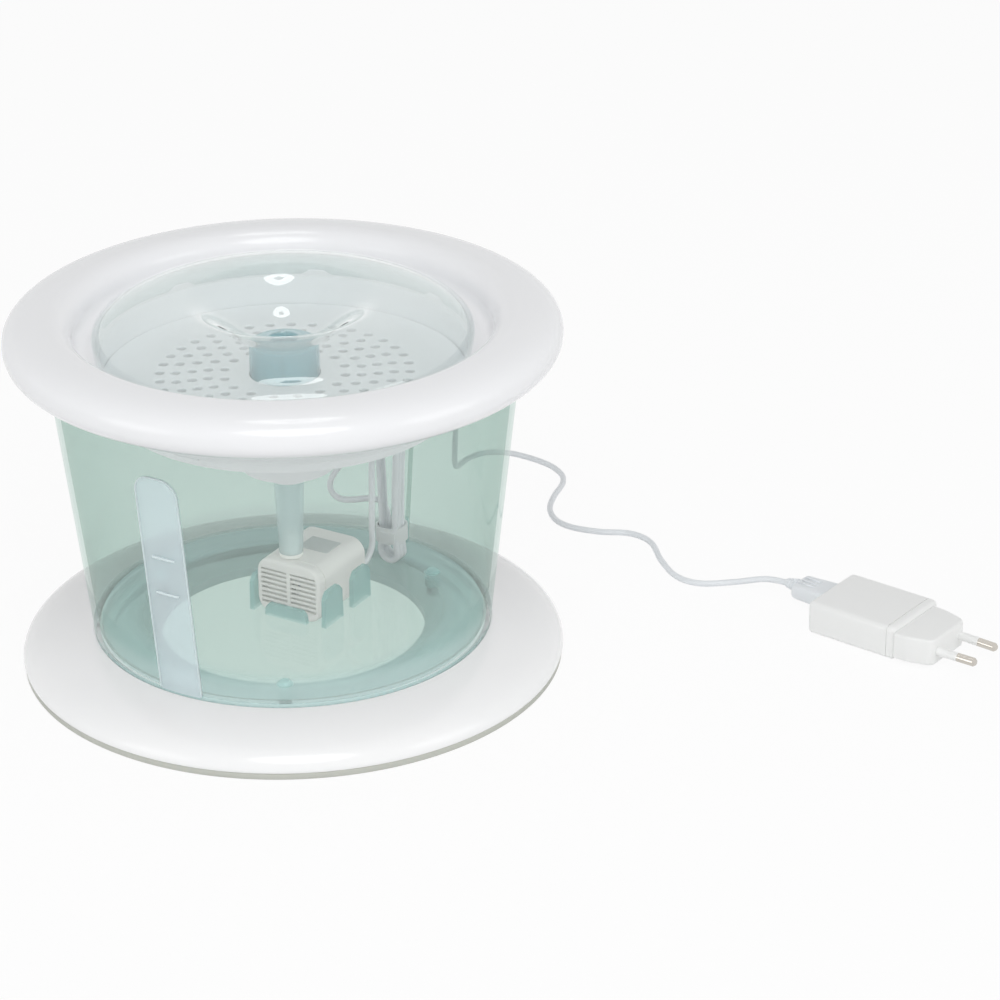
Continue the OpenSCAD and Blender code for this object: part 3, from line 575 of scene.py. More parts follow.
def bead_tree():
    """Runs a round bead along a row of points."""
    g = Growth("bead", [("Radius", "Float"), ("Finish", "Material")])
    path = g.node("GeometryNodeMeshToCurve", inputs={0: g.given("Geometry")})
    ring = g.node("GeometryNodeCurvePrimitiveCircle", inputs={"Resolution": 8, "Radius": g.given("Radius")})
    swept = g.node("GeometryNodeCurveToMesh", inputs={"Curve": path, "Profile Curve": ring, "Fill Caps": True})
    return g.done(g.node("GeometryNodeRealizeInstances", inputs={0: swept}))


def evaluated(holder):
    """The mesh that an object's modifiers make, as plain data."""
    bpy.context.view_layer.update()
    return bpy.data.meshes.new_from_object(holder.evaluated_get(bpy.context.evaluated_depsgraph_get()))


def grown(tree, base, **inputs):
    """The mesh that a tree makes from a base mesh, as plain data."""
    holder = bpy.data.objects.new("growing", base)
    bpy.context.scene.collection.objects.link(holder)
    modifier = holder.modifiers.new("growth", "NODES")
    modifier.node_group = tree
    for item in tree.interface.items_tree:
        if item.in_out == "INPUT" and item.name in inputs:
            modifier[item.identifier] = inputs[item.name]
    made = evaluated(holder)
    if not made.polygons:
        raise RuntimeError(f"the {tree.name} tree made no faces")
    bpy.data.objects.remove(holder)
    return made


# ---------- Mesh helpers ----------


def linked(name, mesh):
    made = bpy.data.objects.new(name, mesh)
    bpy.context.scene.collection.objects.link(made)
    return made


def shaded(mesh):
    """Smooth all over but for true edges."""
    mesh.shade_smooth()
    mesh.set_sharp_from_angle(angle=math.radians(32))
    return mesh


def tidy(mesh):
    """Merges doubles, turns faces outward and keeps only true edges sharp."""
    bm = bmesh.new()
    bm.from_mesh(mesh)
    bmesh.ops.remove_doubles(bm, verts=bm.verts, dist=1e-7)
    bmesh.ops.recalc_face_normals(bm, faces=bm.faces)
    bm.to_mesh(mesh)
    bm.free()
    return shaded(mesh)


def joined(name, meshes, material):
    """One object from several plain meshes that share a finish."""
    bm = bmesh.new()
    for mesh in meshes:
        bm.from_mesh(mesh)
    made = bpy.data.meshes.new(name)
    bm.to_mesh(made)
    bm.free()
    made.materials.clear()
    made.materials.append(material)
    for face in made.polygons:
        face.material_index = 0
    return linked(name, shaded(made))


def softened(points, radius, corner=24, steps=4):
    """A closed profile with its sharp corners rounded."""
    made = []
    count = len(points)
    for i in range(count):
        before, here, after = (Vector(points[(i + k) % count]) for k in (-1, 0, 1))
        a, b = before - here, after - here
        if a.length < 1e-6 or b.length < 1e-6:
            continue
        bend = math.degrees(math.pi - a.angle(b))
        if bend < corner:
            made.append(tuple(here))
            continue
        half = a.angle(b) / 2
        reach = min(radius / math.tan(half), 0.45 * a.length, 0.45 * b.length)
        size = reach * math.tan(half)
        middle = here + (a.normalized() + b.normalized()).normalized() * (size / math.sin(half))
        first, last = here + a.normalized() * reach - middle, here + b.normalized() * reach - middle
        spread = first.angle_signed(last)
        for k in range(steps + 1):
            t = spread * k / steps
            made.append((
                middle.x + first.x * math.cos(t) + first.y * math.sin(t),
                middle.y - first.x * math.sin(t) + first.y * math.cos(t),
            ))
    return made


def turned(profile, material, steps):
    """A solid turned from a closed profile of radius and height in millimetres."""
    base = bpy.data.meshes.new("profile")
    row = list(profile) + [profile[0]]
    base.from_pydata([(r * MM, 0, z * MM) for r, z in row], [], [])
    return tidy(grown(TREES["turned"], base, Steps=steps, Finish=material))


def arc(middle, rx, rz, start, stop, steps, power=2.0):
    """Points on an ellipse, squarer where power is over 2."""
    made = []
    for i in range(steps + 1):
        a = math.radians(start + (stop - start) * i / steps)
        c, s = math.cos(a), math.sin(a)
        made.append((
            middle[0] + rx * math.copysign(abs(c) ** (2 / power), c),
            middle[1] + rz * math.copysign(abs(s) ** (2 / power), s),
        ))
    return made


def block(size, radius, middle=(0, 0, 0), segments=4):
    """A box with rounded edges, in millimetres."""
    bm = bmesh.new()
    bmesh.ops.create_cube(bm, size=1.0)
    for v in bm.verts:
        v.co = Vector((v.co.x * size[0], v.co.y * size[1], v.co.z * size[2]))
    bmesh.ops.bevel(bm, geom=bm.edges[:], offset=radius, segments=segments, profile=0.5, affect="EDGES")
    for v in bm.verts:
        v.co = (v.co + Vector(middle)) * MM
    mesh = bpy.data.meshes.new("block")
    bm.to_mesh(mesh)
    bm.free()
    return mesh


def bar(middle, size, corner, soft, start, end):
    """A bar along Y with round corners and a soft front edge, in millimetres."""
    quarter = [math.radians(15 * k) for k in range(7)]
    corners = ((0, 1, 1), (90, -1, 1), (180, -1, -1), (270, 1, -1))
    steps = [(start + soft * (1 - math.cos(a)), soft * (1 - math.sin(a))) for a in quarter] + [(end, 0)]
    rows = []
    for y, inset in steps:
        w, h, r = size.x / 2 - inset, size.z / 2 - inset, corner - inset
        rows.append([
            (middle.x + sx * (w - r) + r * math.cos(a), y, middle.z + sz * (h - r) + r * math.sin(a))
            for first, sx, sz in corners
            for a in (math.radians(first) + step for step in quarter)
        ])
    n = len(rows[0])
    faces = [
        (i * n + k, i * n + (k + 1) % n, (i + 1) * n + (k + 1) % n, (i + 1) * n + k)
        for i in range(len(rows) - 1) for k in range(n)
    ] + [tuple(range(n)), tuple(range(len(rows) * n - n, len(rows) * n))]
    mesh = bpy.data.meshes.new("bar")
    mesh.from_pydata([Vector(p) * MM for row in rows for p in row], [], faces)
    return tidy(mesh)


def cut(mesh, tools):
    """The mesh with other meshes taken out of it."""
    solid = linked("solid", mesh)
    made = []
    for i, tool in enumerate(tools):
        cutter = linked(f"cutter_{i}", tool)
        made.append(cutter)
        modifier = solid.modifiers.new(f"cut_{i}", "BOOLEAN")
        modifier.operation, modifier.solver, modifier.object = "DIFFERENCE", "EXACT", cutter
    result = evaluated(solid)
    for item in [solid, *made]:
        bpy.data.objects.remove(item)
    return result


def moved(mesh, matrix):
    mesh.transform(matrix)
    return mesh


def repeated(tree, part, finish, **inputs):
    """Copies of a small part, laid out by one of the node trees, as one mesh."""
    pattern = linked("pattern", part)
    made = grown(TREES[tree], bpy.data.meshes.new("seed"), Copy=pattern, Finish=finish, **inputs)
    bpy.data.objects.remove(pattern)
    return made


def settled(made, body, slot, *nodes):
    """Hangs a finished piece on its body and hides the CAD nodes it stands for."""
    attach(made, body)
    if nodes:
        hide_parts(*nodes)
    return made


def dressed(material, *nodes):
    """Gives CAD nodes that stay a finish."""
    for name in nodes:
        node = NODES[name]
        if not node.material_slots:
            node.data.materials.append(material)
        for place in node.material_slots:
            place.material = material


TREES = {}
FINISHES = {}


# ---------- The stage ----------


class FOUNTAIN_OT_stage(bpy.types.Operator):
    """Sets up the camera, the lamps, the white surroundings and the floor"""

    bl_idname = "fountain.stage"
    bl_label = "Stage"

    elevation, turn, roll = (math.radians(a) for a in (25.268, 30, -0.4048))
    stand = (0.7736, -1.1554, 0.7269)

    def execute(self, context):
        scene = context.scene
        stage = scene.fountain_stage
        scene.view_settings.view_transform = "Standard"
        right = Vector((math.cos(self.turn), math.sin(self.turn), 0))
        toward = Vector((right.y, -right.x, 0))
        self.camera(scene, stage.lens, right, toward)
        self.ring_lamp(stage.ring_light, 0.17, 0.055, toward * -0.14 + right * 0.02 + Vector((0, 0, 1.25)))
        for name, size, power, side, front, height in (
            ("front_lamp", 0.9, stage.front_light, 0.1, 0.95, 1.15),
            ("left_lamp", 0.7, stage.side_light, -1.0, 0.7, 0.35),
            ("right_lamp", 0.7, stage.side_light, 1.05, 0.5, 0.5),
        ):
            self.lamp(name, size, power, right * side + toward * front + Vector((0, 0, height)))
        self.surroundings(scene, stage)
        self.floor()
        return {"FINISHED"}

    def camera(self, scene, lens, right, toward):
        ahead = -toward * math.cos(self.elevation) - Vector((0, 0, math.sin(self.elevation)))
        down = -right.cross(ahead)
        across = right * math.cos(self.roll) - down * math.sin(self.roll)
        drop = right * math.sin(self.roll) + down * math.cos(self.roll)
        camera = linked("camera", bpy.data.cameras.new("camera"))
        camera.data.lens, camera.data.sensor_width, camera.data.sensor_fit = lens, 36, "HORIZONTAL"
        aim = Matrix((across, -drop, -ahead)).transposed().to_4x4()
        camera.matrix_world = Matrix.Translation(self.stand) @ aim
        scene.camera = camera

    def lamp(self, name, size, power, place):
        light = bpy.data.lights.new(name, "AREA")
        light.shape, light.size, light.energy = "DISK", size, power
        aim = (Vector((0, 0, 0.1)) - place).to_track_quat("-Z", "Y")
        linked(name, light).matrix_world = Matrix.Translation(place) @ aim.to_matrix().to_4x4()

    def ring_lamp(self, strength, outer, inner, place):
        """A round lamp overhead with a dark middle, facing down."""
        sides = 64
        spokes = [Vector((math.cos(TURN * k / sides), math.sin(TURN * k / sides), 0)) for k in range(sides)]
        verts = [place + spoke * r for r in (outer, inner) for spoke in spokes]
        faces = [(k, sides + k, sides + (k + 1) % sides, (k + 1) % sides) for k in range(sides)]
        mesh = bpy.data.meshes.new("ring_lamp")
        mesh.from_pydata(verts, [], faces)
        f = Finish("lamp_white")
        back = f.node("ShaderNodeNewGeometry", output="Backfacing")
        mesh.materials.append(f.done(f.blend(back, f.glow(strength), f.passing((1, 1, 1, 1)))))
        linked("ring_lamp", mesh)

    def surroundings(self, scene, stage):
        """White where it is seen or mirrored; as light it is brightest at the horizon."""
        world = bpy.data.worlds.new("surroundings")
        scene.world = world
        world.use_nodes = True
        t = Tree()
        t.tree = world.node_tree
        t.tree.nodes.clear()
        where = t.node("ShaderNodeTexCoord", output="Generated")
        height = t.node("ShaderNodeSeparateXYZ", inputs={0: where}, output=2).held()
        soft = stage.soft_light * (1.0 - 0.8 * height)
        lit = soft + t.ray("Camera", "Glossy", "Transmission") * (1.0 - soft)
        sky = t.node("ShaderNodeBackground", inputs={"Color": (1, 1, 1, 1), "Strength": lit})
        t.node("ShaderNodeOutputWorld", inputs={"Surface": sky})

    def floor(self):
        """A pale floor that shows almost white and keeps a trace of the shadow."""
        bm = bmesh.new()
        bmesh.ops.create_grid(bm, x_segments=8, y_segments=8, size=6)
        mesh = bpy.data.meshes.new("floor")
        bm.to_mesh(mesh)
        bm.free()
        f = Finish("floor_white")
        paper = f.node("ShaderNodeBsdfDiffuse", inputs={"Color": (0.9, 0.9, 0.9, 1)})
        seen = f.ray("Camera", "Glossy", "Transmission")
        mesh.materials.append(f.done(f.blend(seen * 0.93, paper, f.glow(1.0))))
        linked("floor", mesh)


# ---------- Leads ----------


def smooth(points, steps):
    """More points on a smooth curve through the given ones."""
    made = []
    for i in range(len(points) - 1):
        p0, p1, p2, p3 = (Vector(points[min(max(i + k, 0), len(points) - 1)]) for k in (-1, 0, 1, 2))
        for j in range(steps):
            t = j / steps
            made.append(
                0.5 * (2 * p1 + (p2 - p0) * t + (2 * p0 - 5 * p1 + 4 * p2 - p3) * t ** 2
                       + (3 * p1 - p0 - 3 * p2 + p3) * t ** 3)
            )
    return made + [Vector(points[-1])]


def strand(name, points, radius, material):
    """A lead along points in millimetres, and its length in metres."""
    curve = bpy.data.curves.new(name, "CURVE")
    curve.dimensions, curve.bevel_depth, curve.bevel_resolution, curve.use_fill_caps = "3D", radius, 5, True
    line = curve.splines.new("POLY")
    line.points.add(len(points) - 1)
    for spot, p in zip(line.points, points):
        spot.co = (*(p * MM), 1)
    line.use_smooth = True
    curve.materials.append(material)
    length = sum((b - a).length for a, b in zip(points, points[1:])) * MM
    return linked(name, curve), length


class FOUNTAIN_OT_leads(bpy.types.Operator):
    """Lays the lead from the pump through its tied hank to the rim, and from the rim to the USB plug"""

    bl_idname = "fountain.leads"
    bl_label = "Leads"

    from_pump = [
        (15, 35, 30), (15, 39, 31), (15, 43, 36), (14.5, 44, 43), (14, 45, 51), (13, 47, 58),
        (11.2, 50, 65), (9.6, 53, 72),
    ]
    to_rim = [
        (10.6, 64.2, 36), (10.4, 64.4, 40), (9.4, 64.4, 44.5), (7, 63.4, 48), (2.5, 59.5, 49.6),
        (-2, 54.5, 50), (-7, 51, 51), (-10.3, 49.4, 55), (-10, 49, 60), (-8, 51, 65), (-4, 55, 72),
        (-1, 63, 83), (2, 72, 98), (4, 80, 113), (6, 88, 128), (6, 93, 136), (6, 98, 137.8), (6.5, 105, 137.8),
    ]
    from_rim = [
        (6.5, 105, 137.8), (6, 114, 137.8), (4, 124, 136), (1, 134, 130), (-2, 143, 117), (-5, 150, 101),
        (-8, 156, 82), (-11, 162, 63), (-14, 167, 44), (-19, 174, 25), (-25, 184, 11), (-31, 197, 3),
        (-33, 210, 1.4), (-29, 220, 1.4), (-19, 225.5, 1.4), (-6, 225.5, 1.4), (7, 222.5, 1.4), (17, 216, 1.4),
        (22.5, 207, 1.4), (26, 192, 1.4), (31, 179, 1.4), (39.5, 169.5, 1.4), (50, 166, 1.4), (64, 168, 1.4),
        (78, 173.5, 1.4), (91, 169.5, 1.4), (104, 155, 1.4), (118, 143.5, 1.4), (131, 142, 1.6),
        (146, 147.5, 3.6), (160, 151, 7), (172, 150.5, 8),
    ]

    @staticmethod
    def hank(loops, spread):
        """Loops of lead that hang side by side, drawn together at the tie."""
        middle, tie, foot, head = 15, 36, 28, 90.5

        def half(z):
            return 4.3 + (2.3 * ((z - tie) / 55) ** 2 if z > tie else 1.1 * ((tie - z) / 8) ** 2)

        made = [(middle - half(z), 55.8, z) for z in (79, 85)]
        for i in range(loops):
            y, after = 55.8 + i * spread, 55.8 + (i + 1) * spread
            made += [
                (middle - half(head) * math.cos(a), y, head + half(head) * math.sin(a))
                for a in (math.radians(15 + 25 * k) for k in range(7))
            ]
            made += [(middle + half(z), y, z) for z in (80, 68, 56, 45, 36, 31)]
            made += [
                (middle + half(foot) * math.cos(a), y + (after - y) * k / 6, foot - half(foot) * math.sin(a))
                for k, a in ((k, math.radians(15 + 25 * k)) for k in range(7))
            ]
            if i < loops - 1:
                made += [(middle - half(z), after, z) for z in (31, 36, 45, 56, 68, 80)]
        return made

    def execute(self, context):
        sizes = context.scene.fountain_sizes
        thick = sizes.lead_diameter
        inside = self.from_pump + self.hank(sizes.hank_loops, thick / MM) + self.to_rim
        inner, inner_length = strand("inner_lead", smooth(inside, 5), thick / 2, FINISHES["jacket"])
        outer, outer_length = strand("supply_lead", smooth(self.from_rim, 6), thick / 2, FINISHES["jacket"])
        tie = self.tie()
        settled(inner, "fountain", "lead_jacket", "pump_lead", "lead_hank", "rim_lead")
        settled(outer, "fountain", "lead_jacket", "outer_lead")
        settled(tie, "fountain", "lead_jacket", "hank_tie")
        plug = self.plug()
        return {"FINISHED"}

    def tie(self):
        """Band round the hank, with a lapped end."""
        sides, reach, middle = 64, 5.9, (15, 60)
        section = ((32.2, 0), (32.0, 0.4), (32.2, 0.9), (36, 1.05), (39.8, 0.9), (40, 0.4), (39.8, 0), (36, 0))
        verts = []
        for z, grow in section:
            for k in range(sides):
                c, s = math.cos(TURN * k / sides), math.sin(TURN * k / sides)
                x = middle[0] + (reach + grow) * math.copysign(abs(c) ** 0.8, c)
                y = middle[1] + (reach + grow) * math.copysign(abs(s) ** 0.8, s)
                verts.append(Vector((x, y, z)) * MM)
        faces = []
        for i in range(len(section)):
            a, b = i * sides, (i + 1) % len(section) * sides
            faces += [(a + k, a + (k + 1) % sides, b + (k + 1) % sides, b + k) for k in range(sides)]
        band = bpy.data.meshes.new("band")
        band.from_pydata(verts, [], faces)
        lap = block((7.5, 1.1, 5), 0.5, (17, 53.2, 36))
        return joined("hank_band", [tidy(band), tidy(lap)], FINISHES["tie"])

    def plug(self):
        """Moulded USB plug with a ribbed relief where the lead goes in."""
        finish = FINISHES["plug"]
        body = block((20, 15.6, 8), 2.2, (0, 0, 0), 5)
        for v in body.vertices:
            t = max(0.0, (-v.co.x / MM - 2) / 8)
            v.co.y *= 1 - 0.16 * t * t
            v.co.z *= 1 - 0.22 * t * t
        grip = [block((9, 1.0, 0.5), 0.24, (-3.5, y, 3.9), 2) for y in (-3, 0, 3)]
        place = shift(SOCKET_X - 10, SOCKET_Y, CHARGER_Z)
        cone = turned([(0.6, 0), (1.85, 0), (1.95, 0.4), (2.9, 6.2), (2.9, 7), (0.6, 7)], finish, 40)
        rib = [(1.9, -0.45), (3.05, -0.45), (3.3, -0.25), (3.3, 0.25), (3.05, 0.45), (1.9, 0.45)]
        ribs = repeated(
            "row", turned(rib, finish, 40), finish, Count=4, Start=(0, 0, 5.6 * MM), Step=(0, 0, -1.5 * MM),
            Shrink=0.1,
        )
        behind = shift(SOCKET_X - 26, SOCKET_Y, CHARGER_Z) @ Matrix.Rotation(math.pi / 2, 4, "Y")
        parts = [tidy(moved(p, place)) for p in (body, *grip)] + [moved(cone, behind), moved(tidy(ribs), behind)]
        plug = joined("lead_plug", [moved(p, CHARGER) for p in parts], finish)
        settled(plug, "fountain", "lead_jacket", "usb_plug")
        return [plug]


# ---------- Turned pieces ----------


class FOUNTAIN_OT_drinking_ring(bpy.types.Operator):
    """Turns the fat ring with its channel, and the rib that sits in the tank's mouth"""

    bl_idname = "fountain.drinking_ring"
    bl_label = "Drinking ring"

    def execute(self, context):
        sizes = context.scene.fountain_sizes
        w, roll, high, power = 2.4, sizes.roll_radius / MM, 10.5, 2.3
        out = sizes.ring_radius / MM - roll
        channel_r, channel_z, ledge, tray_in = 90.5, 147.0, 79.0, 76.4
        inside, bend = roll - channel_r, ROLL_Z - channel_z
        mid, hollow, tray = (roll, ROLL_Z), (channel_r - bend, ROLL_Z), COVER_Z - w
        shell = (
            arc(mid, out, high, -60, 90, 56, power)
            + arc(mid, inside, high, 90, 180, 40, power)[1:]
            + arc(hollow, bend, bend, 0, -90, 14)[1:]
            + [(ledge, channel_z), (ledge, tray), (tray_in, tray), (tray_in, tray - w), (ledge + w, tray - w),
               (ledge + w, channel_z - w)]
            + arc(hollow, bend + w, bend + w, -90, 0, 14)
            + arc(mid, inside - w, high - w, 180, 90, 40, power)[1:]
            + arc(mid, out - w, high - w, 90, -58, 56, power)[1:]
        )
        thick, fit = 2.0, 0.6
        rib_out = TANK_RIM_R - w - fit
        rib_in = rib_out - thick
        rest, roof = TANK_RIM_R + fit, ROLL_Z + high - w / 2 - 0.6
        rib = [(rib_in, RIM - 4), (rib_out, RIM - 4), (rib_out, RIM), (rest, RIM), (rest, RIM + 2),
               (rib_out, RIM + 2), (rib_out, roof), (rib_in, roof)]
        white = FINISHES["white"]
        ring = turned(softened(shell, 0.7), white, sizes.ring_steps)
        collar = turned(softened(rib, 0.3), white, sizes.ring_steps)
        lead_at, lead_gap = math.radians(90 - 3.5), 5.0
        for v in collar.vertices:
            if v.co.z < (RIM - 0.5) * MM:
                off = abs(math.remainder(math.atan2(v.co.y, v.co.x) - lead_at, TURN)) * rib_in
                if off < lead_gap:
                    v.co.z = (RIM - 0.05) * MM
        settled(joined("drinking_ring", [ring, collar], white), "drinking_bowl", "white_abs", "bowl")
        return {"FINISHED"}


class FOUNTAIN_OT_foot(bpy.types.Operator):
    """Turns the white skirt that the tank stands in, and the rubber ring under it"""

    bl_idname = "fountain.foot"
    bl_label = "Foot"

    def execute(self, context):
        steps = context.scene.fountain_sizes.ring_steps
        r, high, low, w = SKIRT_HIGH.x / MM, SKIRT_HIGH.z / MM, 3.2, 2.4
        ledge = TANK_FOOT_R - 2.8
        shell = (
            [(r - w, low), (r - 0.3, low)]
            + arc((COLLAR_R, low + 1), r - COLLAR_R, high - low - 1, 0, 90, 48)
            + [(COLLAR_R, SEAT), (ledge, SEAT), (ledge, SEAT - w), (COLLAR_R + w, SEAT - w)]
            + arc((COLLAR_R + w, low), r - COLLAR_R - 2 * w, high - low - w, 90, 0, 32)
        )
        web = [(r - 7.6, low), (r - w + 0.2, low), (r - w + 0.2, low + 1.6), (r - 7.6, low + 1.6)]
        # The skirt's finish is a brighter copy of the bowl's white: painted light against the shade the bowl
        # casts on it.
        white = FINISHES["base"]
        parts = [turned(softened(shell, 0.5), white, steps), turned(softened(web, 0.2), white, steps)]
        settled(joined("foot_skirt", parts, white), "fountain", "white_abs", "base_skirt")

        grip = FINISHES["rubber"]
        band = [(r - 7.5, 0.25), (r - 7.1, 0), (r - 1.2, 0), (r - 0.5, 0.6), (r - 0.42, 1.7), (r - 0.5, 2.7),
                (r - 0.8, low), (r - 7.5, low)]
        ring = turned(softened(band, 0.3, 40, 3), grip, steps)
        stud = tidy(block((4.4, 1.5, 0.5), 0.18, (0, 0, 0), 2))
        studs = repeated("round", stud, grip, Count=96, Radius=(r - 4.2) * MM, Height=0.27 * MM, Start=0.0)
        settled(joined("grip_ring", [ring, studs], grip), "fountain", "grey_rubber", "anti_slip_ring")
        return {"FINISHED"}


class FOUNTAIN_OT_level_lines(bpy.types.Operator):
    """Runs the pale bead round the level window and the two level marks across it. The bead round the window is
    the window's edge drawn pale, a painted highlight of the light it catches.
    """

    bl_idname = "fountain.level_lines"
    bl_label = "Level lines"

    def execute(self, context):
        low, high = box_mm("level_window")
        half, corner, foot = (high.x - low.x) / 2 - 0.1, 8, low.z + 0.8
        shoulder = high.z - corner
        outline = (
            [(-half, foot + (shoulder - foot) * k / 20) for k in range(20)]
            + arc((corner - half, shoulder), corner, corner, 180, 90, 10)
            + arc((half - corner, shoulder), corner, corner, 90, 0, 10)
            + [(half, shoulder - (shoulder - foot) * k / 20) for k in range(1, 21)]
        )
        marks = [[(-5.5 + 11 * k / 12, z) for k in range(13)] for z in (67.66, 85.0)]
        lines = []
        for row, radius in ((outline, 0.3), (marks[0], 0.55), (marks[1], 0.55)):
            spots = []
            for x, z in row:
                wall = TANK_FOOT_R + (TANK_RIM_R - TANK_FOOT_R) * (z - SEAT) / (RIM - SEAT)
                spots.append(Vector((x, -math.sqrt(wall * wall - x * x), z)) * MM)
            base = bpy.data.meshes.new("line")
            base.from_pydata(spots, [(k, k + 1) for k in range(len(spots) - 1)], [])
            lines.append(tidy(grown(TREES["bead"], base, Radius=radius * MM, Finish=FINISHES["bead"])))
        settled(joined("level_lines", lines, FINISHES["bead"]), "fountain", "clear_window")
        return {"FINISHED"}


class FOUNTAIN_OT_flow_cap(bpy.types.Operator):
    """Turns the clear dome with its dimple and opens the water returns in its foot"""

    bl_idname = "fountain.flow_cap"
    bl_label = "Dome"

    def execute(self, context):
        steps = context.scene.fountain_sizes.ring_steps
        r, low, crest = DOME_HIGH.x / MM, DOME_LOW.z / MM, DOME_HIGH.z / MM
        w, rise, crest_r, dimple, floor_r = 2.2, 15.0, 44.0, 17.2, 9.0
        rim = (crest_r, crest - rise)
        floor = crest - dimple

        def fall(radius):
            return floor + dimple * (1 - math.cos(math.pi * (radius - floor_r) / (crest_r - floor_r))) / 2

        radii = [crest_r + (floor_r - crest_r) * i / 44 for i in range(45)]
        shell = (
            [(r - w, low), (r, low)]
            + arc(rim, r - crest_r, rise, 0, 90, 48)
            + [(radius, fall(radius)) for radius in radii[1:]]
            + [(6.2, floor), (6.2, floor - w)]
            + [(radius, fall(radius) - w) for radius in reversed(radii)]
            + arc(rim, r - crest_r - w, rise - w, 90, 0, 48)[1:]
        )
        cap = turned(softened(shell, 0.55), FINISHES["dome"], steps)
        pitch, gate_half, gate_high = TURN / 8, 5.8, 2.1
        for v in cap.vertices:
            if v.co.z < (low + 0.9) * MM and math.hypot(v.co.x, v.co.y) > (r - 4) * MM:
                off = abs(math.remainder(math.atan2(v.co.y, v.co.x) - pitch / 2, pitch)) * r
                v.co.z += gate_high * MM * min(1.0, max(0.0, gate_half - off))
        made = joined("flow_cap", [cap], FINISHES["dome"])
        settled(made, "flow_dome", "dome_clear", "dome")
        return {"FINISHED"}


class FOUNTAIN_OT_strainer(bpy.types.Operator):
    """Rounds the edge of every hole in the filter's cover"""

    bl_idname = "fountain.strainer"
    bl_label = "Strainer rims"

    def execute(self, context):
        sizes = context.scene.fountain_sizes
        hole = sizes.hole_diameter / MM / 2
        finish = FINISHES["cover"]
        edge = [(hole - 0.28, -0.7), (hole - 0.16, -0.1), (hole + 0.25, 0.14), (hole + 0.6, 0.1),
                (hole + 0.6, -0.7)]
        lip = turned(edge, finish, 12)
        outer, spacing, pitch = 54, 6.9, 9.4
        rims = []
        for k in range(sizes.strainer_rings):
            radius = outer - spacing * k
            count = int(TURN * radius / pitch / 2) * 2
            start = TURN * (k % 2) / 2 / count
            rims.append(repeated(
                "round", lip, finish, Count=count, Radius=radius * MM, Height=COVER_HIGH.z, Start=start
            ))
        settled(joined("strainer_rims", rims, finish), "cover", "white_abs")
        return {"FINISHED"}


class FOUNTAIN_OT_filter_fleece(bpy.types.Operator):
    """Makes the soft filter pad in its tray"""

    bl_idname = "fountain.filter_fleece"
    bl_label = "Filter fleece"

    def execute(self, context):
        low, high = PAD_LOW.z / MM, PAD_HIGH.z / MM
        out, inner = PAD_HIGH.x / MM - 0.6, 20.6
        mid, span = (inner + out) / 2, (out - inner) / 2
        top = [
            (mid + span * math.cos(a), low + 3 + (high - low - 3.2) * math.sin(a) ** 0.32)
            for a in map(math.radians, range(4, 178, 6))
        ]
        bottom = [(inner + 0.2, low + 1.2), (inner + 1.4, low + 0.1), (out - 3.2, low + 0.1),
                  (out - 1.9, low + 1.2)]
        pad = turned(top + bottom, FINISHES["fleece"], 180)
        for v in pad.vertices:
            if v.co.z > (low + 4) * MM:
                v.co.z += (noise.noise(v.co * 120) - 0.6) * 0.5 * MM
        made = joined("filter_fleece", [pad], FINISHES["fleece"])
        settled(made, "filter", "filter_foam", "filter_pad")
        return {"FINISHED"}


# ---------- Pump ----------


class FOUNTAIN_OT_intake(bpy.types.Operator):
    """Makes the pump's front with its slatted windows, and the bare plate on its top"""

    bl_idname = "fountain.intake"
    bl_label = "Pump intake"

    def execute(self, context):
        sizes = context.scene.fountain_sizes
        finish = FINISHES["pump"]
        low, high = box_mm("pump_cover")
        middle = (low + high) / 2
        size = high - low
        wall, side, pitch = 1.6, 7.55, 16.1 / sizes.slats
        shell = bar(middle, size, 7, 1.5, low.y, high.y)
        tools = [bar(middle, size - Vector((2 * wall, 0, 2 * wall)), 7 - wall, 0.6, low.y + wall, high.y + 2)]
        tools += [block((13.3, 8, 17.1), 0.5, (middle.x + s * side, low.y, middle.z), 2) for s in (-1, 1)]
        grille = cut(shell, tools)
        slat = tidy(block((13.7, 1.3, 1.3), 0.3, (0, 0, 0), 2))
        slats = []
        for s in (-1, 1):
            first = Vector((middle.x + s * side, low.y + 0.85, middle.z - pitch * (sizes.slats - 1) / 2))
            slats.append(repeated(
                "row", slat, finish, Count=sizes.slats, Start=first * MM, Step=(0, 0, pitch * MM), Shrink=0.0
            ))
        front = joined("intake_front", [tidy(grille), *slats], finish)
        settled(front, "fountain", "pump_plastic", "pump_cover")

        plate = block((15, 12, 0.5), 0.22, (middle.x + 2.2, 14.5, high.z + 0.05), 2)
        settled(joined("type_plate", [tidy(plate)], FINISHES["plate"]), "fountain", "pump_plastic")
        return {"FINISHED"}


# ---------- Charger ----------


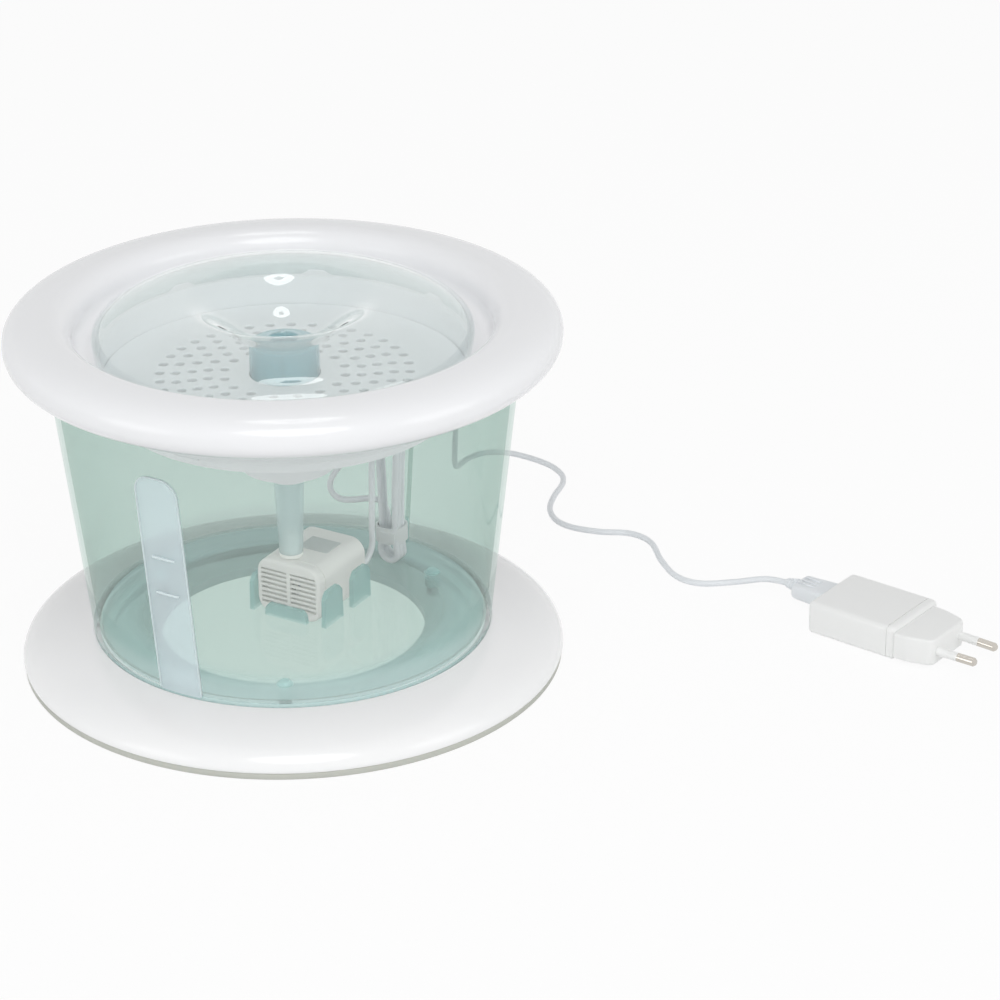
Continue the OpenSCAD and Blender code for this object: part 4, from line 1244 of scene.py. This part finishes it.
class FOUNTAIN_OT_charger(bpy.types.Operator):
    """Makes the charger's case and its pin block with soft edges"""

    bl_idname = "fountain.charger"
    bl_label = "Charger"

    def execute(self, context):
        finish = FINISHES["charger"]
        length, seam = 46, 18.6
        case = cut(block((length, 37, 16), 2.6, (0, 0, CHARGER_Z), 6), [
            block((12.4, 12.6, 5.1), 0.7, (6.1 - length / 2, SOCKET_Y, CHARGER_Z), 2),
            block((0.35, 60, 60), 0.1, (seam, 0, CHARGER_Z), 1),
        ])
        core = block((6, 36.3, 15.3), 2.3, (seam, 0, CHARGER_Z), 4)
        made = joined("charger_case", [moved(tidy(p), CHARGER) for p in (case, core)], finish)
        settled(made, "charger", "charger_plastic", "charger_body")

        bm = bmesh.new()
        outline = [(0, -17), (6, -17), (16, -14.1), (18, -12.1), (18, 12.1), (16, 14.1), (6, 17), (0, 17)]
        low, high = ([bm.verts.new((x, y, z)) for x, y in outline] for z in (-6.3, 6.3))
        bm.faces.new(list(reversed(low)))
        bm.faces.new(high)
        for i in range(len(outline)):
            bm.faces.new((low[i - 1], low[i], high[i], high[i - 1]))
        edges = [e for e in bm.edges if not all(v.co.x < 0.1 for v in e.verts)]
        bmesh.ops.bevel(bm, geom=edges, offset=1.9, segments=5, profile=0.5, affect="EDGES", clamp_overlap=True)
        nose = bpy.data.meshes.new("nose")
        bm.to_mesh(nose)
        bm.free()
        nose.transform(Matrix.Scale(MM, 4))
        nose.transform(shift(length / 2, -2, CHARGER_Z))
        made = joined("pin_block", [moved(tidy(nose), CHARGER)], finish)
        settled(made, "charger", "charger_plastic", "charger_nose")
        return {"FINISHED"}


# ---------- Finishes ----------


class FOUNTAIN_OT_finishes(bpy.types.Operator):
    """Makes the finishes and node trees, and gives the CAD nodes that stay their finish"""

    bl_idname = "fountain.finishes"
    bl_label = "Finishes"

    staying = {
        "tank": ["tank"], "clamp": ["clamp_ring"], "hub": ["dome_hub"], "riser": ["riser_tube"],
        "window": ["level_window"], "seal": ["rim_grommet", "pump_gland"], "white": ["filter_tray"],
        "cover": ["filter_cover"], "pump": ["pump_housing", "volute_plate"],
        "potting": ["stator", "shaft_bushes"], "impeller": ["impeller"],
        "magnet": ["rotor_magnet"], "ceramic": ["impeller_shaft"],
        "steel": ["base_screws"], "nickel": ["plug_pins", "usb_shell"], "charger": ["pin_sleeves"],
    }

    def execute(self, context):
        c = context.scene.fountain_colours
        TREES.update(turned=turned_tree(), round=circle_tree(), row=row_tree(), bead=bead_tree())
        white, jacket = tuple(c.white), tuple(c.jacket)
        FINISHES.update(
            white=moulded("white_gloss", white, 0.13, specular=0.45),
            # Painted light: the skirt is the bowl's white made a tenth brighter, to make up for the shade the
            # bowl casts on it.
            base=moulded("base_gloss_painted_light", shade(white, 1.1), 0.13, specular=0.45),
            cover=moulded("cover_white", shade(white, 1.04), 0.24),
            tank=clear(
                "tank_clear", tuple(c.tank_tint), gloss=0.7, veil=0.07, deep=1.6, far=1.0, zones=tank_teal_and_painted_light
            ),
            dome=clear("dome_clear", tuple(c.dome_tint), 1.5, 1.9, 0.12, (0.84, 0.9, 0.89, 1), 0.3),
            clamp=clear("clamp_teal", (0.82, 0.895, 0.905, 1), gloss=0.3, deep=0.0, zones=clamp_painted_light),
            hub=clear("hub_blue", (0.72, 0.86, 0.89, 1), veil=0.42, milk=(0.36, 0.66, 0.72, 1), deep=0.2),
            riser=clear("riser_frost", (0.88, 0.94, 0.94, 1), veil=0.42, milk=(0.80, 0.95, 0.94, 1), deep=0.2),
            window=clear("window_clear", tuple(c.window_tint), veil=0.34, milk=(0.84, 0.95, 1.0, 1), deep=0.1),
            # Partly painted highlight: the pale bead round the window stands for the light along its edge, and
            # the level marks share this finish.
            bead=moulded("window_marks_and_highlight_bead", paint(214, 228, 230), 0.3, 0.02),
            rubber=rubbery("grip_rubber", tuple(c.rubber)),
            seal=rubbery("soft_grommet", jacket, 0.5),
            pump=moulded("pump_white", tuple(c.pump), 0.38, 0.02, 0.00001),
            plate=rubbery("bare_plate", paint(205, 212, 210), 0.45, 0.00001),
            potting=rubbery("motor_potting", paint(44, 46, 50), 0.45),
            impeller=moulded("impeller_blue", paint(86, 120, 168), 0.3),
            magnet=rubbery("rotor_ferrite", paint(62, 62, 66), 0.4),
            ceramic=moulded("shaft_ceramic", paint(240, 236, 226), 0.12),
            jacket=vinyl("lead_vinyl", jacket),
            plug=moulded("plug_vinyl", jacket, 0.34, 0.02, 0.00001),
            tie=moulded("tie_white", paint(232, 236, 236), 0.35),
            fleece=fleece("filter_fleece"),
            charger=moulded("charger_white", tuple(c.charger), 0.3, 0.01, 0.00001),
            steel=metallic("screw_steel", paint(214, 217, 219), 0.42, metal=0.4),
            nickel=metallic("pin_nickel", paint(205, 200, 192), 0.16, (1, 8, 8)),
        )
        for finish, nodes in self.staying.items():
            dressed(FINISHES[finish], *nodes)
        return {"FINISHED"}


# ---------- Panel and registration ----------

STEPS = (
    "stage", "finishes", "leads", "drinking_ring", "foot", "level_lines", "flow_cap", "strainer",
    "filter_fleece",
    "intake", "charger",
)


class FOUNTAIN_PT_panel(bpy.types.Panel):
    """Sizes, colours and building steps of the fountain"""

    bl_idname = "FOUNTAIN_PT_panel"
    bl_label = "Fountain"
    bl_space_type = "VIEW_3D"
    bl_region_type = "UI"
    bl_category = "Fountain"

    def draw(self, context):
        scene = context.scene
        for group in (scene.fountain_sizes, scene.fountain_colours, scene.fountain_stage):
            column = self.layout.column(align=True)
            for key in group.__annotations__:
                column.prop(group, key)
        column = self.layout.column(align=True)
        for step in STEPS:
            column.operator("fountain." + step)


CLASSES = (
    FountainSizes, FountainColours, FountainStage, FOUNTAIN_OT_stage, FOUNTAIN_OT_finishes, FOUNTAIN_OT_leads,
    FOUNTAIN_OT_drinking_ring, FOUNTAIN_OT_foot, FOUNTAIN_OT_level_lines, FOUNTAIN_OT_flow_cap,
    FOUNTAIN_OT_strainer, FOUNTAIN_OT_filter_fleece, FOUNTAIN_OT_intake, FOUNTAIN_OT_charger, FOUNTAIN_PT_panel,
)


def register():
    for cls in CLASSES:
        bpy.utils.register_class(cls)
    bpy.types.Scene.fountain_sizes = bpy.props.PointerProperty(type=FountainSizes)
    bpy.types.Scene.fountain_colours = bpy.props.PointerProperty(type=FountainColours)
    bpy.types.Scene.fountain_stage = bpy.props.PointerProperty(type=FountainStage)


def unregister():
    for name in ("fountain_sizes", "fountain_colours", "fountain_stage"):
        delattr(bpy.types.Scene, name)
    for cls in reversed(CLASSES):
        bpy.utils.unregister_class(cls)


def main():
    register()
    for step in STEPS:
        getattr(bpy.ops.fountain, step)()


if __name__ == "__main__":
    main()
